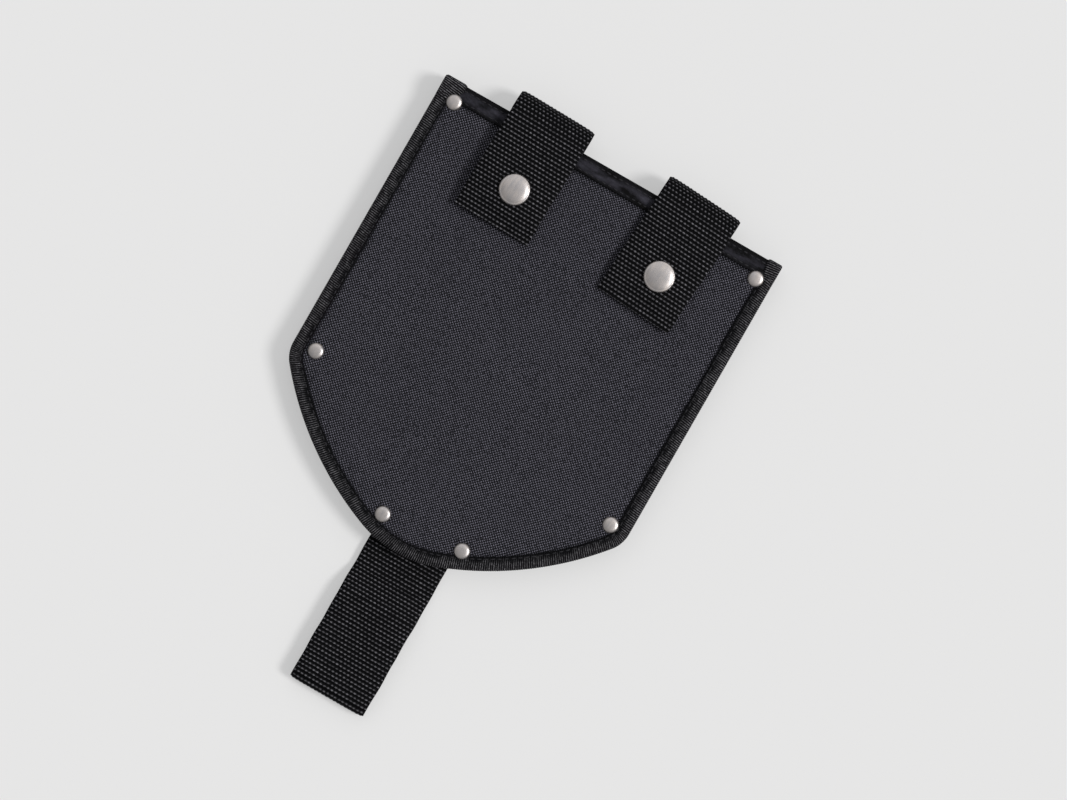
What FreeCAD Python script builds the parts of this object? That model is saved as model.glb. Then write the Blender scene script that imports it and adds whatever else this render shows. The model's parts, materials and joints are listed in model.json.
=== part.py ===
import FreeCAD, Part
import math
import os
import re
import Sketcher

# Blade sheath of a camp shovel, in millimetres.
# It lies on its back: +Z is the front face, +Y points out of the pocket's mouth, +X is to the right.
# The origin is at the centre of the overall box, on the surface that the sheath lies on.
# Distances called "drop" are measured down from the mouth's edge, towards the tip.

SIZES = {
    # outline of the body, over its edge binding
    "body_width": 175.0,
    "side_length": 143.3,
    "tip_drop": 56.9,
    "tip_radius": 155.0,
    "tip_round": 55.0,
    "shoulder_round": 15.0,
    # layers, from the back to the front
    "shell_cloth": 0.9,
    "board_thick": 0.9,
    "pocket_depth": 4.4,
    "welt_width": 12.4,
    "board_gap": 0.1,
    "crown_rise": 3.5,
    # edge binding and mouth hems
    "binding_cloth": 0.8,
    "binding_reach": 6.4,
    "binding_cap": 1.5,
    "corner_tab_left": 11.0,
    "corner_tab_right": 7.0,
    "corner_tab_drop": 8.5,
    "hem_drop": 7.5,
    # webbing of the straps and of the belt loop
    "webbing_width": 38.0,
    "webbing_thick": 1.6,
    "strap_gap": 0.25,
    "anchor_drop": 46.0,
    "anchor_ramp": 5.0,
    "hem_clearance": 1.0,
    "flap_sag": 2.2,
    "flap_sag_run": 12.0,
    # left strap
    "strap_x_left": -35.2,
    "strap_lean_left": 1.35,
    "fold_reach_left": 12.0,
    "flap_drop_left": 48.1,
    "snap_side_left": 1.2,
    "snap_drop_left": 29.1,
    # right strap
    "strap_x_right": 41.5,
    "strap_lean_right": 3.6,
    "fold_reach_right": 11.0,
    "flap_drop_right": 49.8,
    "snap_side_right": 1.7,
    "snap_drop_right": 30.6,
    # snap fasteners
    "snap_gap": 3.9,
    "cap_radius": 7.2,
    "cap_skirt": 0.6,
    "cap_dome": 1.7,
    "cap_bevel": 2.4,
    "barrel_radius": 1.9,
    "socket_radius": 6.2,
    "socket_web": 0.9,
    "stud_flange": 5.8,
    "stud_flange_thick": 0.8,
    "stud_base": 2.9,
    "stud_top": 2.4,
    "stud_rise": 1.85,
    "post_flange": 5.0,
    "post_flange_thick": 0.6,
    "post_radius": 1.5,
    "snap_clearance": 0.35,
    # rivets
    "rivet_radius": 3.85,
    "rivet_dome": 1.7,
    "rivet_back_dome": 1.1,
    "rivet_bevel": 1.3,
    "rivet_shank": 1.4,
    "rivet_fit": 0.05,
    "rivet_edge_top_left": 9.3,
    "rivet_drop_top_left": 8.1,
    "rivet_edge_top_right": 7.9,
    "rivet_drop_top_right": 9.5,
    "rivet_edge_low_left": 11.0,
    "rivet_rise_low_left": 6.7,
    "rivet_edge_low_right": 9.4,
    "rivet_rise_low_right": 4.8,
    "rivet_x_tip_left": -13.6,
    "rivet_edge_tip_left": 10.2,
    "rivet_x_tip_right": 25.8,
    "rivet_edge_tip_right": 8.6,
    # belt loop
    "loop_x": 5.1,
    "loop_length": 72.8,
    "loop_gap": 4.8,
    "loop_start": 14.0,
    "loop_ramp": 12.0,
    "loop_anchor": 52.0,
    "loop_flat": 21.0,
}

# The back shell lies on two layers of webbing and the binding.
LAYERS_BELOW = "2 * webbing_thick + binding_cloth"
BACK_BOARD = f"{LAYERS_BELOW} + shell_cloth"
POCKET_FLOOR = f"{BACK_BOARD} + board_thick"
FRONT_BOARD = f"{POCKET_FLOOR} + pocket_depth"
FRONT_SHELL = f"{FRONT_BOARD} + board_thick"
FRONT_FACE = f"{FRONT_SHELL} + shell_cloth"

# Outline: each tip curve is an arc of tip_radius through the shoulder corner and the sharp tip.
CHORD = "sqrt((body_width / 2)^2 + tip_drop^2)"
BULGE = f"sqrt(tip_radius^2 - ({CHORD})^2 / 4)"
ARC_X = f"(tip_drop / {CHORD} * {BULGE} - body_width / 4)"
ARC_DROP = f"(side_length + tip_drop / 2 - body_width / 2 / {CHORD} * {BULGE})"
TIP_DROP = f"({ARC_DROP} + sqrt((tip_radius - tip_round)^2 - {ARC_X}^2) + tip_round)"

SHELL_INSET = "binding_cloth"
POCKET_INSET = "(binding_cloth + welt_width)"
BOARD_INSET = f"({POCKET_INSET} + board_gap)"
CROWN_HALF = f"(body_width / 2 - {POCKET_INSET})"
CROWN_LENGTH = f"({TIP_DROP} - {POCKET_INSET})"
CROWN_SLOPE = f"atan(crown_rise / {CROWN_LENGTH})"

# The mouth's edge lies here, so that the origin is midway between the strap folds and the loop's end.
FOLD_TOP = (
    "max(fold_reach_left * cos(strap_lean_left * 1 deg) + webbing_width / 2 * sin(strap_lean_left * 1 deg);"
    " fold_reach_right * cos(strap_lean_right * 1 deg) + webbing_width / 2 * sin(strap_lean_right * 1 deg))"
)
MOUTH = f"({TIP_DROP} + loop_length - {FOLD_TOP}) / 2"

BEYOND = 20.0
LEAST_ROUND = 2.0

doc = FreeCAD.newDocument("shovel_sheath")
sheet = doc.addObject("Spreadsheet::Sheet", "Sizes")
for row, (alias, size) in enumerate(SIZES.items(), start=1):
    sheet.set(f"A{row}", alias)
    sheet.set(f"B{row}", str(size))
    sheet.setAlias(f"B{row}", alias)
doc.recompute()

ALIAS = re.compile(r"\b(" + "|".join(SIZES) + r")\b")
V = FreeCAD.Vector
PARTS = []


def linked(formula):
    """The formula with each size named by its cell."""
    return ALIAS.sub(r"Sizes.\1", str(formula))


def number(formula):
    """The formula's value, to place geometry near where its constraints will hold it."""
    found = sheet.evalExpression(linked(formula))
    return float(getattr(found, "Value", found))


def bind(thing, name, formula):
    thing.setExpression(name, linked(formula))


def place(thing, x="0", y=MOUTH, z="0", turn=None):
    """Bind the thing's place, and its turn about Z in degrees."""
    bind(thing, "Placement.Base.x", x)
    bind(thing, "Placement.Base.y", y)
    bind(thing, "Placement.Base.z", z)
    if turn is not None:
        thing.Placement.Rotation = FreeCAD.Rotation(V(0, 0, 1), 5)
        bind(thing, "Placement.Rotation.Angle", turn)


def keep(thing, label):
    """List the thing as a sub-part, named by its label."""
    thing.Label = label
    PARTS.append(thing)
    return thing


def new_body(name):
    return doc.addObject("PartDesign::Body", name)


def new_sketch(body, name, role, height="0"):
    """A sketch on one of the body's own origin planes, raised by height along its normal."""
    sketch = body.newObject("Sketcher::SketchObject", name)
    plane = [f for f in body.Origin.OriginFeatures if f.Role == role][0]
    sketch.AttachmentSupport = (plane, [""])
    sketch.MapMode = "FlatFace"
    bind(sketch, "AttachmentOffset.Base.z", height)
    return sketch


def hold(sketch, kind, *where, value=None):
    """Add a constraint, bound to its formula where it has one."""
    if value is None:
        return sketch.addConstraint(Sketcher.Constraint(kind, *where))
    index = sketch.addConstraint(Sketcher.Constraint(kind, *where, number(value)))
    bind(sketch, f"Constraints[{index}]", value)
    return index


def pad(body, sketch, length, midplane=False, down=False):
    feature = body.newObject("PartDesign::Pad", f"{sketch.Name}_pad")
    feature.Profile = sketch
    feature.Midplane = midplane
    feature.Reversed = down
    bind(feature, "Length", length)
    doc.recompute()
    return feature


def pocket(body, sketch, length=None):
    """Cut the sketch through the whole body, or upwards from its plane by length."""
    feature = body.newObject("PartDesign::Pocket", f"{sketch.Name}_cut")
    feature.Profile = sketch
    if length is None:
        feature.Type = "ThroughAll"
        feature.Midplane = True
    else:
        feature.Reversed = True
        bind(feature, "Length", length)
    before = feature.BaseFeature.Shape.Volume
    doc.recompute()
    if not feature.Shape.Volume < before:
        raise RuntimeError(f"{feature.Name} cuts nothing")
    return feature


def outline(body, name, inset, top="0", height="0"):
    """Sketch the sheath's outline, moved in by inset, with its upper edge at top."""
    half = f"(body_width / 2 - {inset})"
    radius = f"(tip_radius - {inset})"
    shoulder = f"max(shoulder_round - {inset}; {LEAST_ROUND})"
    tip = f"max(tip_round - {inset}; {LEAST_ROUND})"
    across, arc_x, drop = number(half), number(ARC_X), number(ARC_DROP)
    big, small, round_tip, edge = number(radius), number(shoulder), number(tip), number(top)
    corner_y = -drop - math.sqrt((big - small) ** 2 - (across - small + arc_x) ** 2)
    tip_y = -drop - math.sqrt((big - round_tip) ** 2 - arc_x**2)
    at_corner = math.atan2(corner_y + drop, across - small + arc_x)
    at_tip = math.atan2(tip_y + drop, arc_x)

    sketch = new_sketch(body, name, "XY_Plane", height)

    def arc(x, y, r, start, end):
        circle = Part.Circle(V(x, y, 0), V(0, 0, 1), r)
        return sketch.addGeometry(Part.ArcOfCircle(circle, start, end), False)

    def line(x0, y0, x1, y1):
        return sketch.addGeometry(Part.LineSegment(V(x0, y0, 0), V(x1, y1, 0)), False)

    left = line(-across, edge, -across, corner_y)
    left_corner = arc(small - across, corner_y, small, math.pi, math.pi - at_corner)
    left_curve = arc(arc_x, -drop, big, -math.pi - at_corner, -math.pi - at_tip)
    end = arc(0, tip_y, round_tip, -math.pi - at_tip, at_tip)
    right_curve = arc(-arc_x, -drop, big, at_tip, at_corner)
    right_corner = arc(across - small, corner_y, small, at_corner, 0)
    right = line(across, corner_y, across, edge)
    mouth = line(across, edge, -across, edge)
    chain = [left, left_corner, left_curve, end, right_curve, right_corner, right]
    for first, second in zip(chain, chain[1:]):
        hold(sketch, "Tangent", first, 2, second, 1)
    hold(sketch, "Coincident", right, 2, mouth, 1)
    hold(sketch, "Coincident", mouth, 2, left, 1)
    hold(sketch, "Vertical", left)
    hold(sketch, "Vertical", right)
    hold(sketch, "Horizontal", mouth)
    hold(sketch, "Equal", left_corner, right_corner)
    hold(sketch, "Equal", left_curve, right_curve)
    hold(sketch, "Radius", left_corner, value=shoulder)
    hold(sketch, "Radius", left_curve, value=radius)
    hold(sketch, "Radius", end, value=tip)
    for curve, x in ((left_curve, ARC_X), (right_curve, f"-{ARC_X}")):
        hold(sketch, "DistanceX", -1, 1, curve, 3, value=x)
        hold(sketch, "DistanceY", -1, 1, curve, 3, value=f"-{ARC_DROP}")
    hold(sketch, "DistanceX", -1, 1, left, 1, value=f"-{half}")
    hold(sketch, "DistanceX", -1, 1, right, 1, value=half)
    hold(sketch, "DistanceY", -1, 1, mouth, 1, value=top)
    return sketch


def profile(sketch, corners):
    """Draw a closed run of corners (u, v). A third entry (axis, formula, turn) makes the stretch
    that starts there an arc, with its centre at that u or v, anticlockwise where turn is 1."""
    points = [V(number(corner[0]), number(corner[1]), 0) for corner in corners]
    pieces = []
    for index, corner in enumerate(corners):
        start, end = points[index], points[(index + 1) % len(points)]
        if len(corner) == 2:
            pieces.append((sketch.addGeometry(Part.LineSegment(start, end), False), 1, 2))
            continue
        axis, formula, turn = corner[2]
        middle, normal = (start + end) / 2, V(start.y - end.y, end.x - start.x, 0)
        shift = number(formula) - getattr(middle, axis)
        centre = middle + normal * (shift / getattr(normal, axis))
        first, last = (start, end) if turn == 1 else (end, start)
        angles = [math.atan2(p.y - centre.y, p.x - centre.x) for p in (first, last)]
        circle = Part.Circle(centre, V(0, 0, 1), start.distanceToPoint(centre))
        arc = sketch.addGeometry(Part.ArcOfCircle(circle, *angles), False)
        pieces.append((arc, 1, 2) if turn == 1 else (arc, 2, 1))
    for index, corner in enumerate(corners):
        here, start, _ = pieces[index]
        before, _, end = pieces[index - 1]
        hold(sketch, "Coincident", before, end, here, start)
        hold(sketch, "DistanceX", -1, 1, here, start, value=corner[0])
        hold(sketch, "DistanceY", -1, 1, here, start, value=corner[1])
        if len(corner) == 3:
            kind = "DistanceX" if corner[2][0] == "x" else "DistanceY"
            hold(sketch, kind, -1, 1, here, 3, value=corner[2][1])
    return sketch


def circles(sketch, places, radius):
    for x, y in places:
        spot = V(number(x), number(y), 0)
        ring = sketch.addGeometry(Part.Circle(spot, V(0, 0, 1), number(radius)), False)
        hold(sketch, "DistanceX", -1, 1, ring, 3, value=x)
        hold(sketch, "DistanceY", -1, 1, ring, 3, value=y)
        hold(sketch, "Radius", ring, value=radius)
    return sketch


def octagons(sketch, places, radius):
    """Eight-sided sections, for the shanks that the layers hide and for their holes: they keep
    the model light."""
    for x, y in places:
        turns = [f"{45 * corner + 22.5} deg" for corner in range(8)]
        profile(sketch, [(f"{x} + ({radius}) * cos({a})", f"{y} + ({radius}) * sin({a})") for a in turns])
    return sketch


def rectangle(sketch, low_x, high_x, low_y, high_y):
    return profile(sketch, [(low_x, low_y), (high_x, low_y), (high_x, high_y), (low_x, high_y)])


def turned(label, corners):
    """A body turned about its Z axis from a half section of (radius, height) corners."""
    body = new_body(label)
    sketch = profile(new_sketch(body, f"{body.Name}_section", "XZ_Plane"), corners)
    feature = body.newObject("PartDesign::Revolution", f"{body.Name}_turned")
    feature.Profile = sketch
    feature.ReferenceAxis = (sketch, ["V_Axis"])
    feature.Angle = 360
    doc.recompute()
    return body


def combined(kind, name, base, tool):
    """A boolean of two objects: Cut, Common or Fuse."""
    result = doc.addObject(f"Part::{kind}", name)
    result.Base = base
    result.Tool = tool
    return result


def copies(label, body, places):
    """The body at each place (x, y, z), as one compound of separate solids."""
    links = []
    for x, y, z in places:
        link = doc.addObject("App::Link", f"{label}_copy")
        link.LinkedObject = body
        place(link, x, f"{MOUTH} + {y}", z)
        links.append(link)
    group = doc.addObject("Part::Compound", f"{label}_group")
    group.Links = links
    return group


def tip_curve(x, inset):
    """How far a point at x, inset from the tip's edge, lies below the mouth, as a negative height."""
    return f"(-{ARC_DROP} - sqrt((tip_radius - {inset})^2 - (abs({x}) + {ARC_X})^2))"


RIVETS = [
    ("rivet_edge_top_left - body_width / 2", "-rivet_drop_top_left"),
    ("body_width / 2 - rivet_edge_top_right", "-rivet_drop_top_right"),
    ("rivet_edge_low_left - body_width / 2", "rivet_rise_low_left - side_length"),
    ("body_width / 2 - rivet_edge_low_right", "rivet_rise_low_right - side_length"),
    ("rivet_x_tip_left", tip_curve("rivet_x_tip_left", "rivet_edge_tip_left")),
    ("rivet_x_tip_right", tip_curve("rivet_x_tip_right", "rivet_edge_tip_right")),
]


def snap_place(side):
    """The snap's x, and its y from the mouth, from its place along the leaning strap."""
    lean = f"strap_lean_{side} * 1 deg"
    x = f"strap_x_{side} + snap_side_{side} * cos({lean}) - snap_drop_{side} * sin({lean})"
    y = f"-snap_side_{side} * sin({lean}) - snap_drop_{side} * cos({lean})"
    return x, y


CENTRE = [("0", "0")]
SIDES = ("left", "right")
SNAPS = [snap_place(side) for side in SIDES]


def crowned(level, x, y):
    """The height of a front layer at x, y, where its flat margin lies at level."""
    return f"({level} + crown_rise * (1 - (({x}) / {CROWN_HALF})^2 + ({y}) / {CROWN_LENGTH}))"


def make_crown():
    """The space under a front layer's face: flat at height 0, with a shallow vault that is
    highest at the mouth's middle and slopes down into the flat towards the tip."""
    radius = f"(({CROWN_HALF}^2 + crown_rise^2) / (2 * crown_rise))"
    vault = new_body("vault")
    section = profile(new_sketch(vault, "vault_section", "XZ_Plane", f"-{BEYOND}"), [
        (CROWN_HALF, f"-{BEYOND}"),
        (CROWN_HALF, "0", ("y", f"crown_rise - {radius}", 1)),
        (f"-{CROWN_HALF}", "0"),
        (f"-{CROWN_HALF}", f"-{BEYOND}"),
    ])
    pad(vault, section, f"{TIP_DROP} + {2 * BEYOND}")
    vault.Placement.Rotation = FreeCAD.Rotation(V(1, 0, 0), 1)
    bind(vault, "Placement.Rotation.Angle", CROWN_SLOPE)
    flat = doc.addObject("Part::Box", "margin")
    bind(flat, "Length", f"body_width + {2 * BEYOND}")
    bind(flat, "Width", f"{TIP_DROP} + {2 * BEYOND}")
    bind(flat, "Height", f"{BEYOND}")
    place(flat, f"-body_width / 2 - {BEYOND}", f"-{TIP_DROP} - {BEYOND}", f"-{BEYOND}")
    return combined("Fuse", "crown", flat, vault)


def under(crown, name, level):
    """All the space under the front layer whose flat margin lies at level."""
    face = doc.addObject("App::Link", name)
    face.LinkedObject = crown
    place(face, z=level)
    return face


def flat_layer(label, low, thick, inset=SHELL_INSET, rivets=True, snaps=False):
    """A flat sheet of the sheath's outline, with the holes of its rivets and snaps."""
    body = new_body(label)
    pad(body, outline(body, f"{label}_outline", inset), thick)
    if rivets:
        holes = new_sketch(body, f"{label}_rivets", "XY_Plane")
        pocket(body, octagons(holes, RIVETS, "rivet_shank + rivet_fit"))
    if snaps:
        holes = new_sketch(body, f"{label}_snaps", "XY_Plane")
        pocket(body, octagons(holes, SNAPS, "post_radius + rivet_fit"))
    place(body, z=low)
    return body


def front_layer(label, below, above, low, thick, **cut):
    """A front sheet between two crowned faces, cut to the outline from a thick block."""
    block = flat_layer(f"{label}_block", low, f"{thick} + crown_rise", snaps=True, **cut)
    trimmed = combined("Common", f"{label}_trimmed", block, above)
    keep(combined("Cut", label, trimmed, below), label)


def mouth_hem(label, core_low, core_high, above=None, below=None):
    """Tape folded over a panel's mouth edge. Crowned faces shape the front one."""
    rise = "crown_rise" if above else "0"
    half = f"({CROWN_HALF} - strap_gap)"
    body = new_body(f"{label}_band")
    sketch = rectangle(
        new_sketch(body, f"{label}_face", "XY_Plane"), f"-{half}", half, "-hem_drop", "binding_cloth"
    )
    pad(body, sketch, f"{core_high} - ({core_low}) + 2 * binding_cloth + {rise}")
    place(body, z=f"{core_low} - binding_cloth")
    core = new_body(f"{label}_core")
    sketch = rectangle(
        new_sketch(core, f"{label}_core_face", "XY_Plane"), "-body_width / 2", "body_width / 2",
        f"-hem_drop - {BEYOND}", "0",
    )
    pad(core, sketch, f"{core_high} - ({core_low}) + {rise}")
    place(core, z=core_low)
    if above is None:
        keep(combined("Cut", label, body, core), label)
        return
    outer_top, core_top = above
    outer_low, core_bottom = below
    shell = combined("Cut", f"{label}_sheet", combined("Common", f"{label}_top", body, outer_top), outer_low)
    inner = combined("Cut", f"{label}_fill", combined("Common", f"{label}_inner", core, core_top), core_bottom)
    keep(combined("Cut", label, shell, inner), label)


def make_panels():
    """Both shells, the welt between their margins and the stiffener boards inside it."""
    board = {"inset": BOARD_INSET, "rivets": False}
    keep(flat_layer("back_shell", LAYERS_BELOW, "shell_cloth"), "back_shell")
    keep(flat_layer("back_board", BACK_BOARD, "board_thick", **board), "back_board")

    welt = flat_layer("welt", BACK_BOARD, "pocket_depth + 2 * board_thick")
    inner = outline(welt, "welt_pocket", POCKET_INSET, top=f"{BEYOND}")
    pocket(welt, inner)
    keep(welt, "welt")

    levels = {
        "hem_below": f"{FRONT_BOARD} - binding_cloth",
        "board_below": FRONT_BOARD,
        "board_above": FRONT_SHELL,
        "shell_above": FRONT_FACE,
        "hem_above": f"{FRONT_FACE} + binding_cloth",
    }
    crown = make_crown()
    faces = {name: under(crown, name, level) for name, level in levels.items()}
    front_layer("front_board", faces["board_below"], faces["board_above"], FRONT_BOARD, "board_thick", **board)
    front_layer("front_shell", faces["board_above"], faces["shell_above"], FRONT_SHELL, "shell_cloth")
    mouth_hem("mouth_hem_back", LAYERS_BELOW, POCKET_FLOOR)
    mouth_hem(
        "mouth_hem_front", FRONT_BOARD, FRONT_FACE,
        above=(faces["hem_above"], faces["shell_above"]), below=(faces["hem_below"], faces["board_below"]),
    )
    return faces


def make_binding():
    """Tape folded round the edges of all the layers, with its ends turned in at the mouth."""
    body = new_body("edge_binding")
    stack = f"({FRONT_FACE} - ({LAYERS_BELOW}))"
    outer = outline(body, "binding_outer", "0", top="binding_cap")
    pad(body, outer, f"{stack} + 2 * binding_cloth")
    tabs = new_sketch(body, "binding_tabs", "XY_Plane", f"{stack} + 2 * binding_cloth")
    edge = "body_width / 2"
    rectangle(tabs, f"-{edge}", f"corner_tab_left - {edge}", "-corner_tab_drop", "binding_cap")
    rectangle(tabs, f"{edge} - corner_tab_right", edge, "-corner_tab_drop", "binding_cap")
    pad(body, tabs, "binding_cloth")
    core = outline(body, "binding_core", SHELL_INSET, top="0", height="binding_cloth")
    pocket(body, core, stack)
    face = outline(body, "binding_face", "binding_reach", top=f"{BEYOND}")
    pocket(body, face)
    pocket(body, circles(new_sketch(body, "binding_rivets", "XY_Plane"), RIVETS, "rivet_radius + rivet_fit"))
    place(body, z="2 * webbing_thick")
    keep(body, "edge_binding")


def make_rivets():
    """Six rivets: a bevelled cap with its shank at the front, a bevelled cap behind."""
    depth = f"({FRONT_FACE} - ({LAYERS_BELOW}))"
    crest = "rivet_radius - rivet_bevel"
    cap = turned("rivet_cap", [
        ("0", "0"),
        ("rivet_radius", "0"),
        (crest, "rivet_dome"),
        ("0", "rivet_dome"),
    ])
    shank = octagons(new_sketch(cap, "rivet_shank_section", "XY_Plane"), CENTRE, "rivet_shank")
    pad(cap, shank, depth, down=True)
    keep(copies("rivet_caps", cap, [(x, y, FRONT_FACE) for x, y in RIVETS]), "rivet_caps")
    back = turned("rivet_back", [
        ("0", "-rivet_back_dome"),
        (crest, "-rivet_back_dome"),
        ("rivet_radius", "0"),
        ("0", "0"),
    ])
    keep(copies("rivet_backs", back, [(x, y, LAYERS_BELOW) for x, y in RIVETS]), "rivet_backs")


def strip(name, corners):
    """Webbing with the side profile corners (along, height), where along points out of the mouth."""
    body = new_body(name)
    sketch = profile(new_sketch(body, f"{name}_side", "YZ_Plane"), corners)
    pad(body, sketch, "webbing_width", midplane=True)
    return body


def snap_level(side):
    """The front panel's height at a strap's snap."""
    x, y = snap_place(side)
    return crowned(FRONT_FACE, x, y)


def make_strap(side):
    """A webbing strap in three stretches: sewn to the back, folded over the mouth, snapped down."""
    level = f"({snap_level(side)} + snap_gap)"
    top = f"({level} + webbing_thick)"
    bend = f"(fold_reach_{side} - {top} / 2)"
    stack = "2 * webbing_thick"
    ramp = "-hem_drop - hem_clearance - anchor_ramp"
    sag = f"flap_sag_run - flap_drop_{side}"
    anchor = strip(f"strap_{side}_anchor", [
        (bend, "0"),
        (bend, "webbing_thick"),
        ("-webbing_thick", "webbing_thick"),
        ("-webbing_thick", stack),
        ("-hem_drop - hem_clearance", stack),
        (ramp, f"{stack} + binding_cloth"),
        ("-anchor_drop", f"{stack} + binding_cloth"),
        ("-anchor_drop", "binding_cloth"),
        (ramp, "binding_cloth"),
        ("-hem_drop - hem_clearance", "0"),
    ])
    fold = strip(f"strap_{side}_fold", [
        (bend, "0", ("x", bend, 1)),
        (bend, top),
        (bend, level, ("x", bend, -1)),
        (bend, "webbing_thick"),
    ])
    flap = strip(f"strap_{side}_flap", [
        (f"{bend} - strap_gap", level),
        (f"{bend} - strap_gap", top),
        (sag, top),
        (f"-flap_drop_{side}", f"{top} - flap_sag"),
        (f"-flap_drop_{side}", f"{level} - flap_sag"),
        (sag, level),
    ])
    hole = new_sketch(flap, f"strap_{side}_hole", "XY_Plane")
    circles(hole, [(f"snap_side_{side}", f"-snap_drop_{side}")], "barrel_radius + rivet_fit")
    pocket(flap, hole)
    for body in (anchor, fold, flap):
        place(body, x=f"strap_x_{side}", turn=f"-strap_lean_{side} * 1 deg")
        keep(body, body.Name)


def make_snap(side):
    """A snap's moving half: the domed cap over the strap and the socket under it."""
    x, y = snap_place(side)
    level = f"{snap_level(side)} + snap_gap"
    depth = "(snap_gap - stud_flange_thick - strap_gap)"
    cap = turned(f"snap_cap_{side}", [
        ("0", "-webbing_thick - socket_web"),
        ("barrel_radius", "-webbing_thick - socket_web"),
        ("barrel_radius", "0"),
        ("cap_radius", "0"),
        ("cap_radius", "cap_skirt"),
        ("cap_radius - cap_bevel", "cap_skirt + cap_dome"),
        ("0", "cap_skirt + cap_dome"),
    ])
    place(cap, x, f"{MOUTH} + {y}", f"{level} + webbing_thick")
    keep(cap, cap.Name)
    socket = turned(f"snap_socket_{side}", [
        ("barrel_radius + rivet_fit", "0"),
        ("barrel_radius + rivet_fit", "-socket_web"),
        ("stud_base + snap_clearance", "-socket_web"),
        ("stud_base + snap_clearance", f"-{depth}"),
        ("socket_radius", f"-{depth}"),
        ("socket_radius", "0"),
    ])
    place(socket, x, f"{MOUTH} + {y}", level)
    keep(socket, socket.Name)


def make_studs(shell_face, board_face):
    """The snaps' fixed half: a stud on the front panel, held by a post from behind the board."""
    places = [(*snap_place(side), snap_level(side)) for side in SIDES]
    sunk = "(board_thick + shell_cloth)"
    inside = "(stud_flange_thick + stud_rise / 2)"
    top = "stud_flange_thick + stud_rise"
    stud = turned("stud", [
        ("0", f"-{sunk} / 2"),
        ("stud_flange", f"-{sunk} / 2"),
        ("stud_flange", "stud_flange_thick"),
        ("stud_base", "stud_flange_thick"),
        ("stud_top", top),
        ("0", top),
    ])
    socket = new_sketch(stud, "stud_socket", "XY_Plane", f"-{sunk} / 2")
    pocket(stud, octagons(socket, CENTRE, "post_radius + rivet_fit"), f"{sunk} / 2 + {inside}")
    keep(combined("Cut", "stud_seated", copies("snap_studs", stud, places), shell_face), "snap_studs")
    foot = f"-{sunk} - post_flange_thick"
    flange = turned("post_flange", [
        ("0", foot),
        ("post_flange", foot),
        ("post_flange", f"-{sunk} / 2"),
        ("0", f"-{sunk} / 2"),
    ])
    shank = new_body("post_shank")
    section = octagons(new_sketch(shank, "post_shank_section", "XY_Plane", foot), CENTRE, "post_radius")
    pad(shank, section, f"{sunk} + post_flange_thick + {inside} - rivet_fit")
    seated = combined("Common", "post_seated", copies("post_flanges", flange, places), board_face)
    keep(combined("Fuse", "posts", seated, copies("post_shanks", shank, places)), "snap_posts")


def make_belt_loop():
    """Webbing doubled into a loop past the tip, with its two ends sewn to the back."""
    stack = "2 * webbing_thick"
    height = f"({stack} + loop_gap)"
    knuckle = "(-webbing_thick - strap_gap)"
    end = f"({height} / 2 - loop_length)"
    split = "(-loop_start - loop_ramp)"
    wedge = "webbing_thick * tan(atan(loop_gap / loop_ramp) / 2)"
    anchor = strip("belt_loop_anchor", [
        ("0", "0"),
        ("loop_flat", "0"),
        ("loop_flat + anchor_ramp", "binding_cloth"),
        ("loop_anchor", "binding_cloth"),
        ("loop_anchor", f"{stack} + binding_cloth"),
        ("loop_flat + anchor_ramp", f"{stack} + binding_cloth"),
        ("loop_flat", stack),
        ("0", stack),
    ])
    recess = new_sketch(anchor, "rivet_recess", "XY_Plane", f"{LAYERS_BELOW} - rivet_back_dome - strap_gap")
    tips = [(f"{x} - loop_x", f"{TIP_DROP} + {y}") for x, y in RIVETS[-2:]]
    circles(recess, tips, "rivet_radius + strap_gap")
    pocket(anchor, recess, f"rivet_back_dome + {stack}")
    loop = new_body("belt_loop")
    side = new_sketch(loop, "belt_loop_side", "YZ_Plane")
    profile(side, [
        (knuckle, stack),
        ("-loop_start", stack),
        (split, height),
        (end, height, ("x", end, 1)),
        (end, "0"),
        (knuckle, "0", ("x", knuckle, 1)),
    ])
    profile(side, [
        (f"-loop_start - {wedge}", "webbing_thick"),
        (end, "webbing_thick", ("x", end, -1)),
        (end, f"{height} - webbing_thick"),
        (f"{split} - {wedge}", f"{height} - webbing_thick"),
    ])
    pad(loop, side, "webbing_width", midplane=True)
    for body in (anchor, loop):
        place(body, x="loop_x", y=f"{MOUTH} - {TIP_DROP}")
        keep(body, body.Name)


def check_and_write():
    """Stop on any failed object or shape, then write each sub-part's file."""
    doc.recompute()
    for thing in doc.Objects:
        if {"Invalid", "Error"} & set(thing.State):
            raise RuntimeError(f"{thing.Name} failed: {thing.State}")
    for part in PARTS:
        if part.Shape.isNull() or not part.Shape.isValid() or not part.Shape.Solids:
            raise RuntimeError(f"{part.Label} has no sound shape")
    os.makedirs("parts", exist_ok=True)
    for part in PARTS:
        part.Shape.exportStep(f"parts/{part.Label}.step")
        box = part.Shape.BoundBox
        print(f"{part.Label}: {len(part.Shape.Solids)} solid(s), {part.Shape.Volume:.0f} mm3, "
              f"z {box.ZMin:.2f} to {box.ZMax:.2f}, y {box.YMin:.2f} to {box.YMax:.2f}")


faces = make_panels()
make_binding()
make_rivets()
for side in SIDES:
    make_strap(side)
    make_snap(side)
make_studs(faces["shell_above"], faces["board_below"])
make_belt_loop()
check_and_write()
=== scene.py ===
"""Blade sheath of a camp shovel: cloth, webbing, tape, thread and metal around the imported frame."""
import json
import math

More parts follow.
